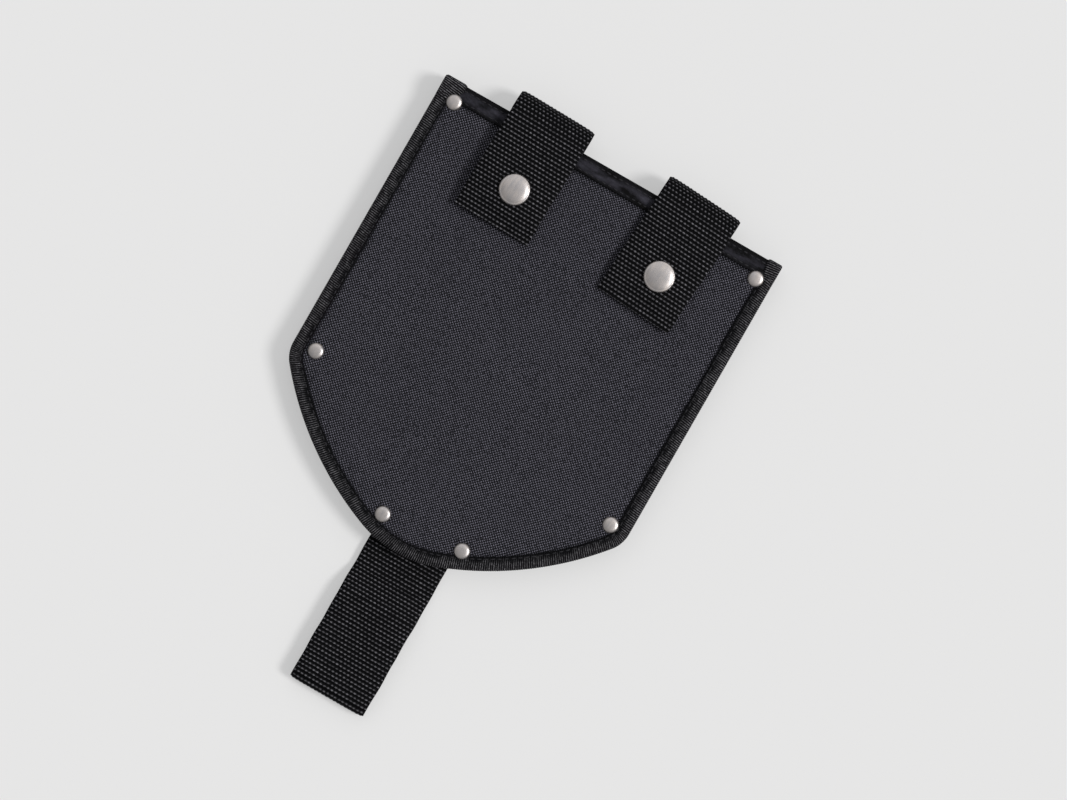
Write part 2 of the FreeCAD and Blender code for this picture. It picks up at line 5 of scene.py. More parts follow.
import bpy
import numpy as np
from bpy.props import FloatProperty, FloatVectorProperty, IntProperty, PointerProperty
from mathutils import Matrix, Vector


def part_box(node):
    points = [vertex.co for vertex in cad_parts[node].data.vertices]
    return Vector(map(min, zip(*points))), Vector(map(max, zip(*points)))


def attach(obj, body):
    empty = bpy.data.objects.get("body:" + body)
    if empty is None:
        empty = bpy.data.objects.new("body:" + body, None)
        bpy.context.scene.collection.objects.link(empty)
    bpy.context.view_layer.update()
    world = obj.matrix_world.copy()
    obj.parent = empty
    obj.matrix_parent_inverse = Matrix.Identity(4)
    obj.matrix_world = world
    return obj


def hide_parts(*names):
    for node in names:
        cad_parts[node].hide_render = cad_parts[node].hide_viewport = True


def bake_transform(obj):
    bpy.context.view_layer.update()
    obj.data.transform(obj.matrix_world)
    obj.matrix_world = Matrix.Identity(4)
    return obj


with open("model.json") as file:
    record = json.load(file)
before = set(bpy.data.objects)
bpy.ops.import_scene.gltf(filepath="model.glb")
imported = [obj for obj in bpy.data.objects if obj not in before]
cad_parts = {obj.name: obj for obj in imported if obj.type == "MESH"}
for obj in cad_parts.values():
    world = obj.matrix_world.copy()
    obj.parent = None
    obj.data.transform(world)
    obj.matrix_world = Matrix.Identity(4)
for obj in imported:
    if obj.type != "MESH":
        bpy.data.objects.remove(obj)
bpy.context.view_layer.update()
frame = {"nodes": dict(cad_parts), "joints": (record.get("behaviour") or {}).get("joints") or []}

bl_info = {
    "name": "Shovel Sheath",
    "version": (1, 0, 0),
    "blender": (4, 5, 0),
    "location": "3D View > Sidebar > Sheath",
    "description": "Dresses the blade sheath of a camp shovel with cloth, webbing, tape, thread and metal",
    "category": "Object",
}

MM = 0.001
SEED = 7
SIDES = ("left", "right")

# Thicknesses and levels that the frame fixes.
CLOTH = 0.9 * MM
TAPE = 0.8 * MM
WEBBING = 1.6 * MM
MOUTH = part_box("mouth_hem_front")[1].y - TAPE
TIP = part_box("edge_binding")[0].y
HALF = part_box("edge_binding")[1].x
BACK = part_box("back_shell")[0].z
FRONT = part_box("front_shell")[0].z + CLOTH
FRONT_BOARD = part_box("front_board")[0].z
POCKET_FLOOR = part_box("back_board")[1].z
POCKET_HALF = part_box("front_board")[1].x
HEM_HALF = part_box("mouth_hem_front")[1].x
HEM_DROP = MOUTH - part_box("mouth_hem_front")[0].y
CROWN_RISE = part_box("front_shell")[1].z - FRONT
CROWN_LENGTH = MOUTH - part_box("front_board")[0].y

# Details of the sewing. Drops are measured down from the mouth's edge.
PANEL_INSET = 1.6 * MM  # the panels' edges, hidden in the edge tape
TAPE_FOLD = 2.2 * MM  # outer radius of the edge tape's two folds
TAPE_FLAT = 2.3 * MM  # inset from which the edge tape lies flat
SEAM_SHARE = 0.84  # where the edge tape is sewn, as a share of its reach
TAB_WIDTH = {"left": 11.0 * MM, "right": 7.0 * MM}
TAB_DROP, TAB_FOLD, TAB_PROUD = 8.5 * MM, 2.6 * MM, 1.5 * MM
HEM_SEAMS = (1.4 * MM, 6.3 * MM)
HEM_TUCK = 7.5 * MM  # how far the front hem's ends run in under the edge tape
TAPE_DENT, PANEL_DENT, BACK_DENT = 4.6 * MM, 6.5 * MM, 8.0 * MM  # reach of the dents round the metal
STRAP_MEET = 0.6 * MM  # how far short of the fold's centre the sewn stretch ends
BOX_HALF, STRAP_BOX, LOOP_BOX = 16.5 * MM, 30 * MM, 22 * MM  # the sewn boxes: half width, heights
STRAP_BOX_DROP, LOOP_BOX_RISE = 44 * MM, 27.5 * MM  # where the boxes start, below the mouth and above the tip
BOX_STITCH, STITCH_SINK = 2.9 * MM, 0.22 * MM  # the boxes' stitch pitch, and how deep the thread is pulled in


# ---- sizes and colours

def length(name, description, default):
    return FloatProperty(name=name, description=description, default=default, unit="LENGTH", subtype="DISTANCE",
                         precision=5)


def colour(name, description, default):
    return FloatVectorProperty(name=name, description=description, default=default, size=3, min=0, max=1,
                               subtype="COLOR")


class SheathSizes(bpy.types.PropertyGroup):
    side_length: length("Side length", "Straight side, from the mouth to the shoulder corner", 143.3 * MM)
    tip_drop: length("Tip drop", "Height of the tapering end", 56.9 * MM)
    tip_radius: length("Tip radius", "Radius of each curved edge towards the tip", 155.0 * MM)
    tip_round: length("Tip round", "Radius of the rounded tip", 55.0 * MM)
    shoulder_round: length("Shoulder round", "Radius of the shoulder corners", 15.0 * MM)
    binding_reach: length("Binding reach", "How far the edge tape lies over the front", 6.4 * MM)
    rib_pitch: length("Rib pitch", "Distance between the ribs of the edge tape", 1.02 * MM)
    rib_depth: length("Rib depth", "How far the ribs stand proud", 0.17 * MM)
    row_pitch: length("Row pitch", "Distance between the rows of the webbing", 1.9 * MM)
    bead_pitch: length("Bead pitch", "Distance between the yarns of a webbing row", 1.95 * MM)
    bead_depth: length("Bead depth", "Depth of the webbing's grooves", 0.55 * MM)
    webbing_width: length("Webbing width", "Width of the straps and the belt loop", 38.0 * MM)
    weave_pitch: length("Weave pitch", "Distance between the yarns of the panel cloth", 0.76 * MM)
    stitch_pitch: length("Stitch pitch", "Distance between stitches", 3.1 * MM)
    thread_radius: length("Thread radius", "Radius of the sewing thread", 0.36 * MM)
    puff: length("Puff", "How far the front cloth stands up inside its edge tape", 0.7 * MM)
    lathe_sides: IntProperty(name="Lathe sides", description="Sides of the round metal pieces", default=64, min=12)


class SheathColours(bpy.types.PropertyGroup):
    # The high and low colours of the cloth, the webbing and the edge tape are lit and shaded copies of one colour:
    # painted highlight on the yarns' tops, painted shade in the gaps and grooves.
    cloth_high: colour("Cloth, high", "Tops of the panel cloth's yarns", (0.132, 0.129, 0.158))
    cloth_low: colour("Cloth, low", "Gaps between the panel cloth's yarns", (0.0035, 0.0035, 0.005))
    webbing_high: colour("Webbing, high", "Tops of the webbing's yarns", (0.230, 0.226, 0.246))
    webbing_low: colour("Webbing, low", "Grooves between the webbing's rows", (0.0006, 0.0006, 0.001))
    tape_high: colour("Edge tape, high", "Ribs of the edge tape", (0.205, 0.200, 0.214))
    tape_low: colour("Edge tape, low", "Grooves of the edge tape", (0.0012, 0.0012, 0.0018))
    hem: colour("Mouth tape", "Smooth tape over the mouth's edges", (0.016, 0.0155, 0.020))
    thread: colour("Thread", "Sewing thread", (0.016, 0.0155, 0.018))
    board: colour("Board", "Stiffener boards", (0.018, 0.018, 0.019))
    welt: colour("Welt", "Spacer between the boards", (0.014, 0.014, 0.015))
    nickel: colour("Nickel", "Snaps and rivets", (0.52, 0.495, 0.478))
    floor: colour("Floor", "Pale floor", (0.79, 0.79, 0.79))


# ---- node wiring

def maths(operation, reflected=False):
    """A method that adds a Math node for a wire and what it is combined with."""
    def method(wire, *others):
        values = (*others, wire) if reflected else (wire, *others)
        return wire.graph.add("ShaderNodeMath", {"operation": operation}, dict(enumerate(values)))
    return method


class Wire:
    """A socket in a node tree. Arithmetic on it adds Math nodes."""
    __add__ = __radd__ = maths("ADD")
    __mul__ = __rmul__ = maths("MULTIPLY")
    __sub__, __rsub__ = maths("SUBTRACT"), maths("SUBTRACT", reflected=True)
    __truediv__, __pow__, __abs__ = maths("DIVIDE"), maths("POWER"), maths("ABSOLUTE")
    sine, cosine, floor = maths("SINE"), maths("COSINE"), maths("FLOOR")

    def __init__(self, graph, socket):
        self.graph, self.socket = graph, socket

    def clamp(self):
        return self.graph.add("ShaderNodeClamp", {}, {0: self})

    def contrast(self, gain):
        """Spread the values about a half, kept between 0 and 1."""
        return ((self - 0.5) * gain + 0.5).clamp()


class Graph:
    """A node tree, with one method that adds any node."""

    def __init__(self, tree, owner=None):
        self.tree, self.owner = tree, owner

    def add(self, kind, settings=None, inputs=None, output=0):
        """Add a node, give it its settings, then its socket values or links, and return one output."""
        node = self.tree.nodes.new(kind)
        for name, value in (settings or {}).items():
            setattr(node, name, value)
        for key, value in (inputs or {}).items():
            socket = self.find(node.inputs, key)
            if isinstance(value, Wire):
                self.tree.links.new(value.socket, socket)
            else:
                socket.default_value = value
        return Wire(self, self.find(node.outputs, output)) if len(node.outputs) else node

    @staticmethod
    def find(sockets, key):
        for socket in sockets:
            if key in (socket.identifier, socket.name) and socket.enabled:
                return socket
        return sockets[key]

    def noise(self, vector, scale, detail=2.0, roughness=0.5):
        return self.add("ShaderNodeTexNoise", {}, {
            "Vector": vector, "Scale": scale, "Detail": detail, "Roughness": roughness}, "Fac")

    def blend(self, factor, low, high):
        """Mix two colours."""
        return self.add("ShaderNodeMix", {"data_type": "RGBA"}, {
            "Factor_Float": factor, "A_Color": (*low, 1), "B_Color": (*high, 1)}, "Result_Color")

    def attribute(self, name):
        return self.add("ShaderNodeAttribute", {"attribute_name": name}, {}, "Fac")

    def part(self, vector, axis):
        return self.add("ShaderNodeSeparateXYZ", {}, {0: vector}, axis)

    def join(self, x=0.0, y=0.0, z=0.0):
        return self.add("ShaderNodeCombineXYZ", {}, {0: x, 1: y, 2: z})

    def stretched(self, vector, x, y, z):
        return self.add("ShaderNodeVectorMath", {"operation": "MULTIPLY"}, {0: vector, 1: (x, y, z)})

    def random(self, low, high, seed=SEED):
        return self.add("FunctionNodeRandomValue", {"data_type": "FLOAT"},
                        {"Min_001": low, "Max_001": high, "Seed": seed}, "Value_001")

    def field(self, name):
        """A named float of the geometry."""
        return self.add("GeometryNodeInputNamedAttribute", {"data_type": "FLOAT"}, {"Name": name}, "Attribute")


# ---- materials

def bare_material(name):
    """A new material's empty graph."""
    material = bpy.data.materials.new(name)
    material.use_nodes = True
    material.node_tree.nodes.clear()
    return Graph(material.node_tree, material)


def new_material(name):
    """A new material's graph and its object coordinates."""
    g = bare_material(name)
    return g, g.add("ShaderNodeTexCoord", {}, {}, "Object")


def shader(g, base, roughness, height=None, depth=0.0, strength=1.0, **constants):
    """A Principled shader, with a bump where it has a height."""
    inputs = {"Base Color": base, "Roughness": roughness}
    inputs.update({key.replace("_", " "): value for key, value in constants.items()})
    if height is not None:
        inputs["Normal"] = g.add("ShaderNodeBump", {}, {
            "Height": height, "Distance": depth, "Strength": strength}, "Normal")
    return g.add("ShaderNodeBsdfPrincipled", {}, inputs, "BSDF")


def end_material(g, last):
    g.add("ShaderNodeOutputMaterial", {}, {"Surface": last})
    return g.owner


def shaded(colour, *factors):
    """A colour times one factor, or times one for each channel."""
    return tuple(np.multiply(colour, factors))


def cloth_material(sizes, colours):
    """Coated plain weave: yarns that pass over and under each other, with flecks and faint scuffs. Its colour is
    painted highlight on the yarns' crowns and painted shade in the gaps, with painted shade beside the edge tape and
    below the mouth tape.
    """
    g, place = new_material("panel_cloth")
    drift = g.noise(place, 45, 1) - 0.5
    waver = g.noise(place, 70, 1) - 0.5
    u = (g.part(place, "X") / sizes.weave_pitch + drift * 1.6) * math.pi
    v = (g.part(place, "Y") / sizes.weave_pitch + waver * 1.2) * math.pi
    # From here the tone follows the yarns' crowns: painted shade in the gaps, painted highlight on the crowns and in
    # the bright flecks.
    over = (u.sine() * v.sine() * 1.8 + 0.5).clamp()
    warp, weft = abs(u.sine()) * over, abs(v.sine()) * (1 - over)
    fleck = g.noise(place, 1500, 1, 0.6).contrast(3.4)
    patch = g.noise(place, 26, 2) * 0.4 + g.noise(place, 160, 2) * 0.6
    # Darker beside the edge tape and below the mouth tape: painted shade, read from the seam field.
    painted_shade_factor = 1 - g.attribute("seam") * 0.85
    tone = (warp * 1.2 + weft * 0.18) ** 2.2 * (0.25 + fleck * 1.32) * (0.65 + patch * 0.7) * painted_shade_factor
    base = g.blend(tone.clamp(), colours.cloth_low, colours.cloth_high)
    height = (warp + weft) * (0.6 + fleck * 0.4)
    return end_material(g, shader(g, base, 0.70 + patch * 0.15, height, 0.16 * MM, 0.8, Specular_IOR_Level=0.09))


def webbing_material(colours):
    """Heavy webbing: grooves darkened with painted shade, yarn tops lightened with painted highlight, fine filaments
    along the yarns.
    """
    g, place = new_material("webbing")
    fibre = g.noise(g.join(g.attribute("across") * 5200, g.attribute("along") * 900), 1.0, 3, 0.6)
    spot = g.noise(place, 420, 2)
    # The colour follows the bead height: painted shade in the grooves, painted highlight on the yarn tops.
    top = ((g.attribute("bead") - 0.40) / 0.60).clamp()
    tone = top ** 2.3 * (0.3 + fibre) * (0.4 + spot * 1.2)
    base = g.blend(tone.clamp(), colours.webbing_low, colours.webbing_high)
    return end_material(g, shader(g, base, 0.66 - fibre * 0.15, fibre, 0.12 * MM, 0.7, Specular_IOR_Level=0.05))


def tape_material(colours):
    """Ribbed edge tape: each rib a bundle of fine threads, with painted shade in the grooves, painted highlight on
    the ribs and painted shade along the sewn inner edge.
    """
    g, place = new_material("edge_tape")
    fibre = g.noise(g.join(g.attribute("across") * 900, g.attribute("along") * 1500), 1.0, 2, 0.6).contrast(3.2)
    spot = g.noise(place, 420, 2).contrast(2.0)
    # The colour follows the rib height: painted shade in the grooves, painted highlight on the ribs.
    top = ((g.attribute("rib") - 0.34) / 0.66).clamp()
    # Darker along the sewn inner edge and the folds' inner edges: painted shade, read from the seam field.
    painted_shade_factor = 1 - g.attribute("seam") * 0.95
    tone = top ** 1.8 * (0.22 + fibre * 1.1) * (0.5 + spot * 0.7) * painted_shade_factor
    base = g.blend(tone.clamp(), colours.tape_low, colours.tape_high)
    return end_material(g, shader(g, base, 0.75, fibre, 0.10 * MM, 0.7, Specular_IOR_Level=0.06))


def hem_material(colours):
    """Smooth tape: a fine ribless weave with soft rubbed patches, darkened with painted shade towards its two edges.
    """
    g, place = new_material("mouth_tape")
    x, y = g.part(place, "X"), g.part(place, "Y")
    fine = abs((x * (math.pi / (0.42 * MM))).sine()) * abs((y * (math.pi / (0.5 * MM))).sine())
    rub = g.noise(g.stretched(place, 1, 3, 3), 90, 3)
    grain = g.noise(place, 1200, 2)
    # The tone falls off towards the fold over the mouth and towards the lower edge: painted shade.
    clear_of_painted_shade = ((MOUTH - y) * (math.pi / HEM_DROP)).sine().clamp() ** 1.8
    tone = (rub * 3.2 + grain * 0.5 + fine * 0.2 - 1.45) * (0.04 + clear_of_painted_shade * 0.96)
    base = g.blend(tone.clamp(), shaded(colours.hem, 0.06), shaded(colours.hem, 2.8))
    return end_material(g, shader(g, base, 0.62 + rub * 0.2, fine + grain, 0.06 * MM, 0.6, Specular_IOR_Level=0.09))


def thread_material(colours):
    """Twisted thread."""
    g, place = new_material("thread")
    twist = g.noise(place, 2600, 2)
    base = g.blend(twist, shaded(colours.thread, 0.5), shaded(colours.thread, 2.2))
    return end_material(g, shader(g, base, 0.6 + twist * 0.1, twist, 0.05 * MM, 0.6, Specular_IOR_Level=0.15))


def sheet_material(name, shade, roughness):
    """Extruded plastic sheet: a slight grain and faint scuffs."""
    g, place = new_material(name)
    grain = g.noise(place, 900, 3, 0.6)
    scuff = g.noise(g.stretched(place, 1, 9, 1), 120, 4, 0.7)
    base = g.blend(scuff, shaded(shade, 0.7), shaded(shade, 1.5))
    return end_material(g, shader(g, base, roughness + scuff * 0.15, grain, 0.05 * MM, 0.5, Specular_IOR_Level=0.25))


def nickel_material(colours):
    """Satin nickel plate with hairline scratches, its colour wandering between a cool and a warm tint as a painted
    reflection, with painted streak highlights.
    """
    g, place = new_material("nickel")
    cloud = g.noise(place, 130, 3)
    hair = g.noise(g.stretched(place, 1, 14, 1), 1400, 3, 0.7)
    cross = g.noise(g.stretched(place, 16, 1, 1), 900, 2, 0.7)
    marks = hair * 0.6 + cross * 0.4
    # The colour wanders between a cool and a warm tint with the cloud and the streaks: a painted reflection of the
    # surroundings, the streaks painted highlights.
    painted_streak_highlight = g.noise(g.stretched(place, 1, 0.25, 1), 620, 1).contrast(2.5)
    base = g.blend(cloud * 0.6 + painted_streak_highlight * 0.4, shaded(colours.nickel, 0.70, 0.73, 0.79),
                   shaded(colours.nickel, 1.16, 1.10, 1.06))
    roughness = 0.30 + cloud * 0.10 + marks * 0.10
    return end_material(g, shader(g, base, roughness, marks, 0.02 * MM, 0.2, Metallic=1.0))


# ---- geometry nodes

def new_tree(name, *floats, **others):
    """A geometry tree's graph and the wires of its inputs: a geometry, the named ones and a material."""
    tree = bpy.data.node_groups.new(name, "GeometryNodeTree")
    kinds = {"Geometry": "Geometry", **dict.fromkeys(floats, "Float"), **others, "Material": "Material"}
    for label, kind in kinds.items():
        tree.interface.new_socket(label, in_out="INPUT", socket_type=f"NodeSocket{kind}")
    tree.interface.new_socket("Geometry", in_out="OUTPUT", socket_type="NodeSocketGeometry")
    graph = Graph(tree)
    source = tree.nodes.new("NodeGroupInput")
    return graph, {socket.name: Wire(graph, socket) for socket in source.outputs if socket.name}


def end_tree(graph, geometry, material):
    """End a geometry tree in Realize Instances and Set Material."""
    real = graph.add("GeometryNodeRealizeInstances", {}, {"Geometry": geometry})
    done = graph.add("GeometryNodeSetMaterial", {}, {"Geometry": real, "Material": material})
    graph.add("NodeGroupOutput", {}, {0: done})
    return graph.tree


def end_relief(graph, wires, mask, share, level, label):
    """End a tree that raises its geometry along the normals, by the depth times how far each point's share is
    over a level, and keeps the share under a name."""
    lift = graph.add("ShaderNodeVectorMath", {"operation": "SCALE"}, {
        0: graph.add("GeometryNodeInputNormal"), "Scale": (share - level) * wires["Depth"] * mask})
    moved = graph.add("GeometryNodeSetPosition", {}, {"Geometry": wires["Geometry"], "Offset": lift})
    kept = graph.add("GeometryNodeStoreNamedAttribute", {"data_type": "FLOAT", "domain": "POINT"},
                     {"Geometry": moved, "Name": label, "Value": share})
    return end_tree(graph, kept, wires["Material"])


def webbing_tree():
    """Rows of yarn floats across the webbing, each row half a yarn beside the next."""
    graph, wires = new_tree("webbing_rows", "Row Pitch", "Bead Pitch", "Depth", "Unevenness")
    along, across, mask, bent = (graph.field(name) for name in ("along", "across", "relief", "bent"))
    spot = graph.join(across, along, mask)
    drift = (graph.noise(spot, 130, 2) - 0.5) * wires["Unevenness"]
    wave = (graph.noise(spot, 320, 1) - 0.5) * wires["Unevenness"]
    row = along / wires["Row Pitch"] + drift
    yarn = across / wires["Bead Pitch"] + (row + 0.5).floor() * 0.5 + wave
    ridge, crest = ((turns * math.tau).cosine() * 0.5 + 0.5 for turns in (row, yarn))
    size = graph.noise(spot, 900, 0) * 0.5 + 0.75
    parted = bent * 0.40 + 0.45
    share = ridge ** 0.8 * (crest ** 0.6 * parted + (1 - parted)) * size
    return end_relief(graph, wires, mask, share, 0.6, "bead")


def rib_tree():
    """Ribs across the edge tape, a little uneven."""
    graph, wires = new_tree("tape_ribs", "Rib Pitch", "Depth", "Unevenness")
    along, across, mask = (graph.field(name) for name in ("along", "across", "relief"))
    spot = graph.join(across * 0.4, along)
    drift = (graph.noise(spot, 160, 2) - 0.5) * wires["Unevenness"]
    ridge = (((along + across * 0.12) / wires["Rib Pitch"] + drift) * math.tau).cosine() * 0.5 + 0.5
    size = graph.noise(spot, 700, 1) * 0.6 + 0.7
    return end_relief(graph, wires, mask, ridge * size, 0.4, "rib")


def stitch_tree():
    """Short lengths of thread along each line of the input."""
    graph, wires = new_tree("stitches", "Pitch", "Thread Radius", "Unevenness")
    line = graph.add("GeometryNodeMeshToCurve", {}, {"Mesh": wires["Geometry"]})
    spaced = graph.add("GeometryNodeResampleCurve", {"mode": "LENGTH"}, {"Curve": line, "Length": wires["Pitch"]})
    turn = graph.add("FunctionNodeAlignRotationToVector", {"axis": "X"},
                     {"Vector": graph.add("GeometryNodeInputTangent")})
    tilt = graph.join(z=graph.random(-0.10, 0.10) * wires["Unevenness"])
    turn = graph.add("FunctionNodeRotateRotation", {"rotation_space": "LOCAL"}, {"Rotation": turn, "Rotate By": tilt})
    size = graph.join(wires["Pitch"] * graph.random(0.33, 0.40, SEED + 1), wires["Thread Radius"],
                      wires["Thread Radius"])
    ball = graph.add("GeometryNodeMeshUVSphere", {}, {"Segments": 6, "Rings": 5, "Radius": 1.0})
    along_x = graph.add("GeometryNodeTransform", {}, {"Geometry": ball, "Rotation": (0, math.pi / 2, 0)})
    sewn = graph.add("GeometryNodeInstanceOnPoints", {}, {
        "Points": spaced, "Instance": along_x, "Rotation": turn, "Scale": size})
    return end_tree(graph, sewn, wires["Material"])


def fastener_tree():
    """One turned metal piece on each point of the input."""
    graph, wires = new_tree("fasteners", Piece="Object")
    piece = graph.add("GeometryNodeObjectInfo", {}, {"Object": wires["Piece"]}, "Geometry")
    placed = graph.add("GeometryNodeInstanceOnPoints", {}, {
        "Points": wires["Geometry"], "Instance": piece, "Rotation": graph.join(z=graph.random(0.0, math.tau))})
    return end_tree(graph, placed, wires["Material"])


FINISHES, TREES = {}, {}


def workshop(scene):
    """The sizes and the finishes. The first call makes the finishes and the node trees."""
    sizes, colours = scene.sheath_sizes, scene.sheath_colours
    if not FINISHES:
        FINISHES.update(
            cloth=cloth_material(sizes, colours),
            webbing=webbing_material(colours),
            tape=tape_material(colours),
            hem=hem_material(colours),
            thread=thread_material(colours),
            board=sheet_material("board", colours.board, 0.5),
            welt=sheet_material("welt", colours.welt, 0.7),
            nickel=nickel_material(colours),
        )
        TREES.update(rows=webbing_tree(), ribs=rib_tree(), stitches=stitch_tree(), fasteners=fastener_tree())
    return sizes, FINISHES


def grown(source, tree, name, **inputs):
    """Run a geometry tree on an object and return the result as a plain mesh object."""
    modifier = source.modifiers.new("grow", "NODES")
    modifier.node_group = TREES[tree]
    for item in modifier.node_group.interface.items_tree:
        key = item.name.lower().replace(" ", "_")
        if item.in_out == "INPUT" and key in inputs:
            modifier[item.identifier] = inputs[key]
    bpy.context.view_layer.update()
    depsgraph = bpy.context.evaluated_depsgraph_get()
    mesh = bpy.data.meshes.new_from_object(source.evaluated_get(depsgraph), preserve_all_data_layers=True,
                                           depsgraph=depsgraph)
    source.modifiers.clear()
    bpy.data.objects.remove(source)
    if not mesh.polygons:
        raise RuntimeError(f"{name} came out empty")
    mesh.name = name
    return shown(name, mesh)


# ---- meshes

def shown(name, mesh):
    """A smooth object of the mesh, at the origin."""
    mesh.polygons.foreach_set("use_smooth", [True] * len(mesh.polygons))
    thing = bpy.data.objects.new(name, mesh)
    bpy.context.scene.collection.objects.link(thing)
    return thing


def plain_mesh(name, vertices, edges=(), faces=()):
    mesh = bpy.data.meshes.new(name)
    mesh.from_pydata(np.asarray(vertices, float).tolist(), list(edges), [list(f) for f in faces])
    mesh.update()
    return mesh


def grid(x, y, z):
    """Rows and columns of points, from coordinates that fit each other's shape."""
    return np.dstack(np.broadcast_arrays(x, y, z))


def skin(name, outer, inner, **fields):
    """A closed sheet between two grids of points. Each field is one array, or a pair for the two grids."""
    rows, columns = outer.shape[:2]
    top = np.arange(rows * columns).reshape(rows, columns)
    under = top + rows * columns
    faces = np.concatenate([np.stack([corner.ravel() for corner in quads], axis=1) for quads in (
        (top[:-1, :-1], top[:-1, 1:], top[1:, 1:], top[1:, :-1]),
        (under[:-1, :-1], under[1:, :-1], under[1:, 1:], under[:-1, 1:]),
        (top[0, :-1], under[0, :-1], under[0, 1:], top[0, 1:]),
        (top[-1, :-1], top[-1, 1:], under[-1, 1:], under[-1, :-1]),
        (top[:-1, 0], top[1:, 0], under[1:, 0], under[:-1, 0]),
        (top[:-1, -1], under[:-1, -1], under[1:, -1], top[1:, -1]),
    )])
    points = np.concatenate([outer.reshape(-1, 3), inner.reshape(-1, 3)])
    a, b, c, d = (points[faces[:, k]] for k in range(4))
    if np.einsum("ij,ij->", a, np.cross(b, c) + np.cross(c, d)) < 0:
        faces = faces[:, ::-1]
    mesh = plain_mesh(name, points, (), faces)
    for label, value in fields.items():
        pair = value if isinstance(value, tuple) else (value, value)
        values = np.concatenate([np.broadcast_to(v, (rows, columns)).ravel() for v in pair]).astype(np.float32)
        mesh.attributes.new(label, "FLOAT", "POINT").data.foreach_set("value", values)
    return shown(name, mesh)


def lathe(name, profile, sides, centre=(0, 0, 0), flip=False):
    """A closed turned piece from a half section of (radius, height) corners that starts and ends on the axis."""
    profile = np.array(profile) * MM * (1, -1 if flip else 1)
    angles = np.arange(sides) * math.tau / sides
    rings = [grid(r * np.cos(angles), r * np.sin(angles), h)[0] for r, h in profile[1:-1]]
    points = np.concatenate([[(0, 0, profile[0, 1])], *rings, [(0, 0, profile[-1, 1])]])
    last = len(points) - 1
    faces = []
    for k in range(sides):
        n = (k + 1) % sides
        faces.append((0, 1 + k, 1 + n))
        faces += [(base + k, base + sides + k, base + sides + n, base + n)
                  for base in range(1, last - sides, sides)]
        faces.append((last - sides + k, last, last - sides + n))
    if flip:
        faces = [face[::-1] for face in faces]
    return shown(name, plain_mesh(name, points + centre, (), faces))


def finished(thing, material, *, body="sheath", blend=None, replaces=(), slot=None):
    """Give a piece its material, its body and the nodes that it stands for. The slot is not used."""
    thing.data.materials.clear()
    thing.data.materials.append(material)
    if blend:
        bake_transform(thing)
    else:
        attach(thing, body)
    if replaces:
        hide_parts(*replaces)


def smooth(x):
    x = np.clip(x, 0, 1)
    return x * x * (3 - 2 * x)


def ripple(x, y, scale, seed):
    """A smooth made-up unevenness between about -1 and 1, from a few crossing waves."""
    draw = np.random.default_rng(SEED + seed)
    total = np.zeros(np.broadcast(x, y).shape)
    for _ in range(5):
        angle, phase, stretch = draw.uniform(0, math.tau), draw.uniform(0, math.tau), draw.uniform(0.7, 1.6)
        total += np.sin((x * math.cos(angle) + y * math.sin(angle)) * math.tau * stretch / scale + phase)
    return total / 3.2


def bump(x, middle, reach):
    """1 at the middle, falling to 0 away from it."""
    return np.exp(-((x - middle) / reach) ** 2)


def run_along(points):
    """The distance along a polyline at each of its points."""
    return np.concatenate([[0], np.cumsum(np.linalg.norm(np.diff(points, axis=0), axis=1))])


def resampled(points, step=0.0, count=0):
    """Points at an even spacing along a polyline, with the distance along it."""
    points = np.array(points, float)
    run = run_along(points)
    along = np.linspace(0, run[-1], count or max(2, int(round(run[-1] / step)) + 1))
    return np.stack([np.interp(along, run, values) for values in points.T], axis=1), along


def arc_points(x, y, radius, start, end, count=24):
    """Points on an arc between two angles in degrees, with one radius or one for each way."""
    turn = np.radians(np.linspace(start, end, count))
    wide, tall = np.broadcast_to(radius, 2)
    return list(zip(x + wide * np.cos(turn), y + tall * np.sin(turn)))


# ---- the sheath's outline

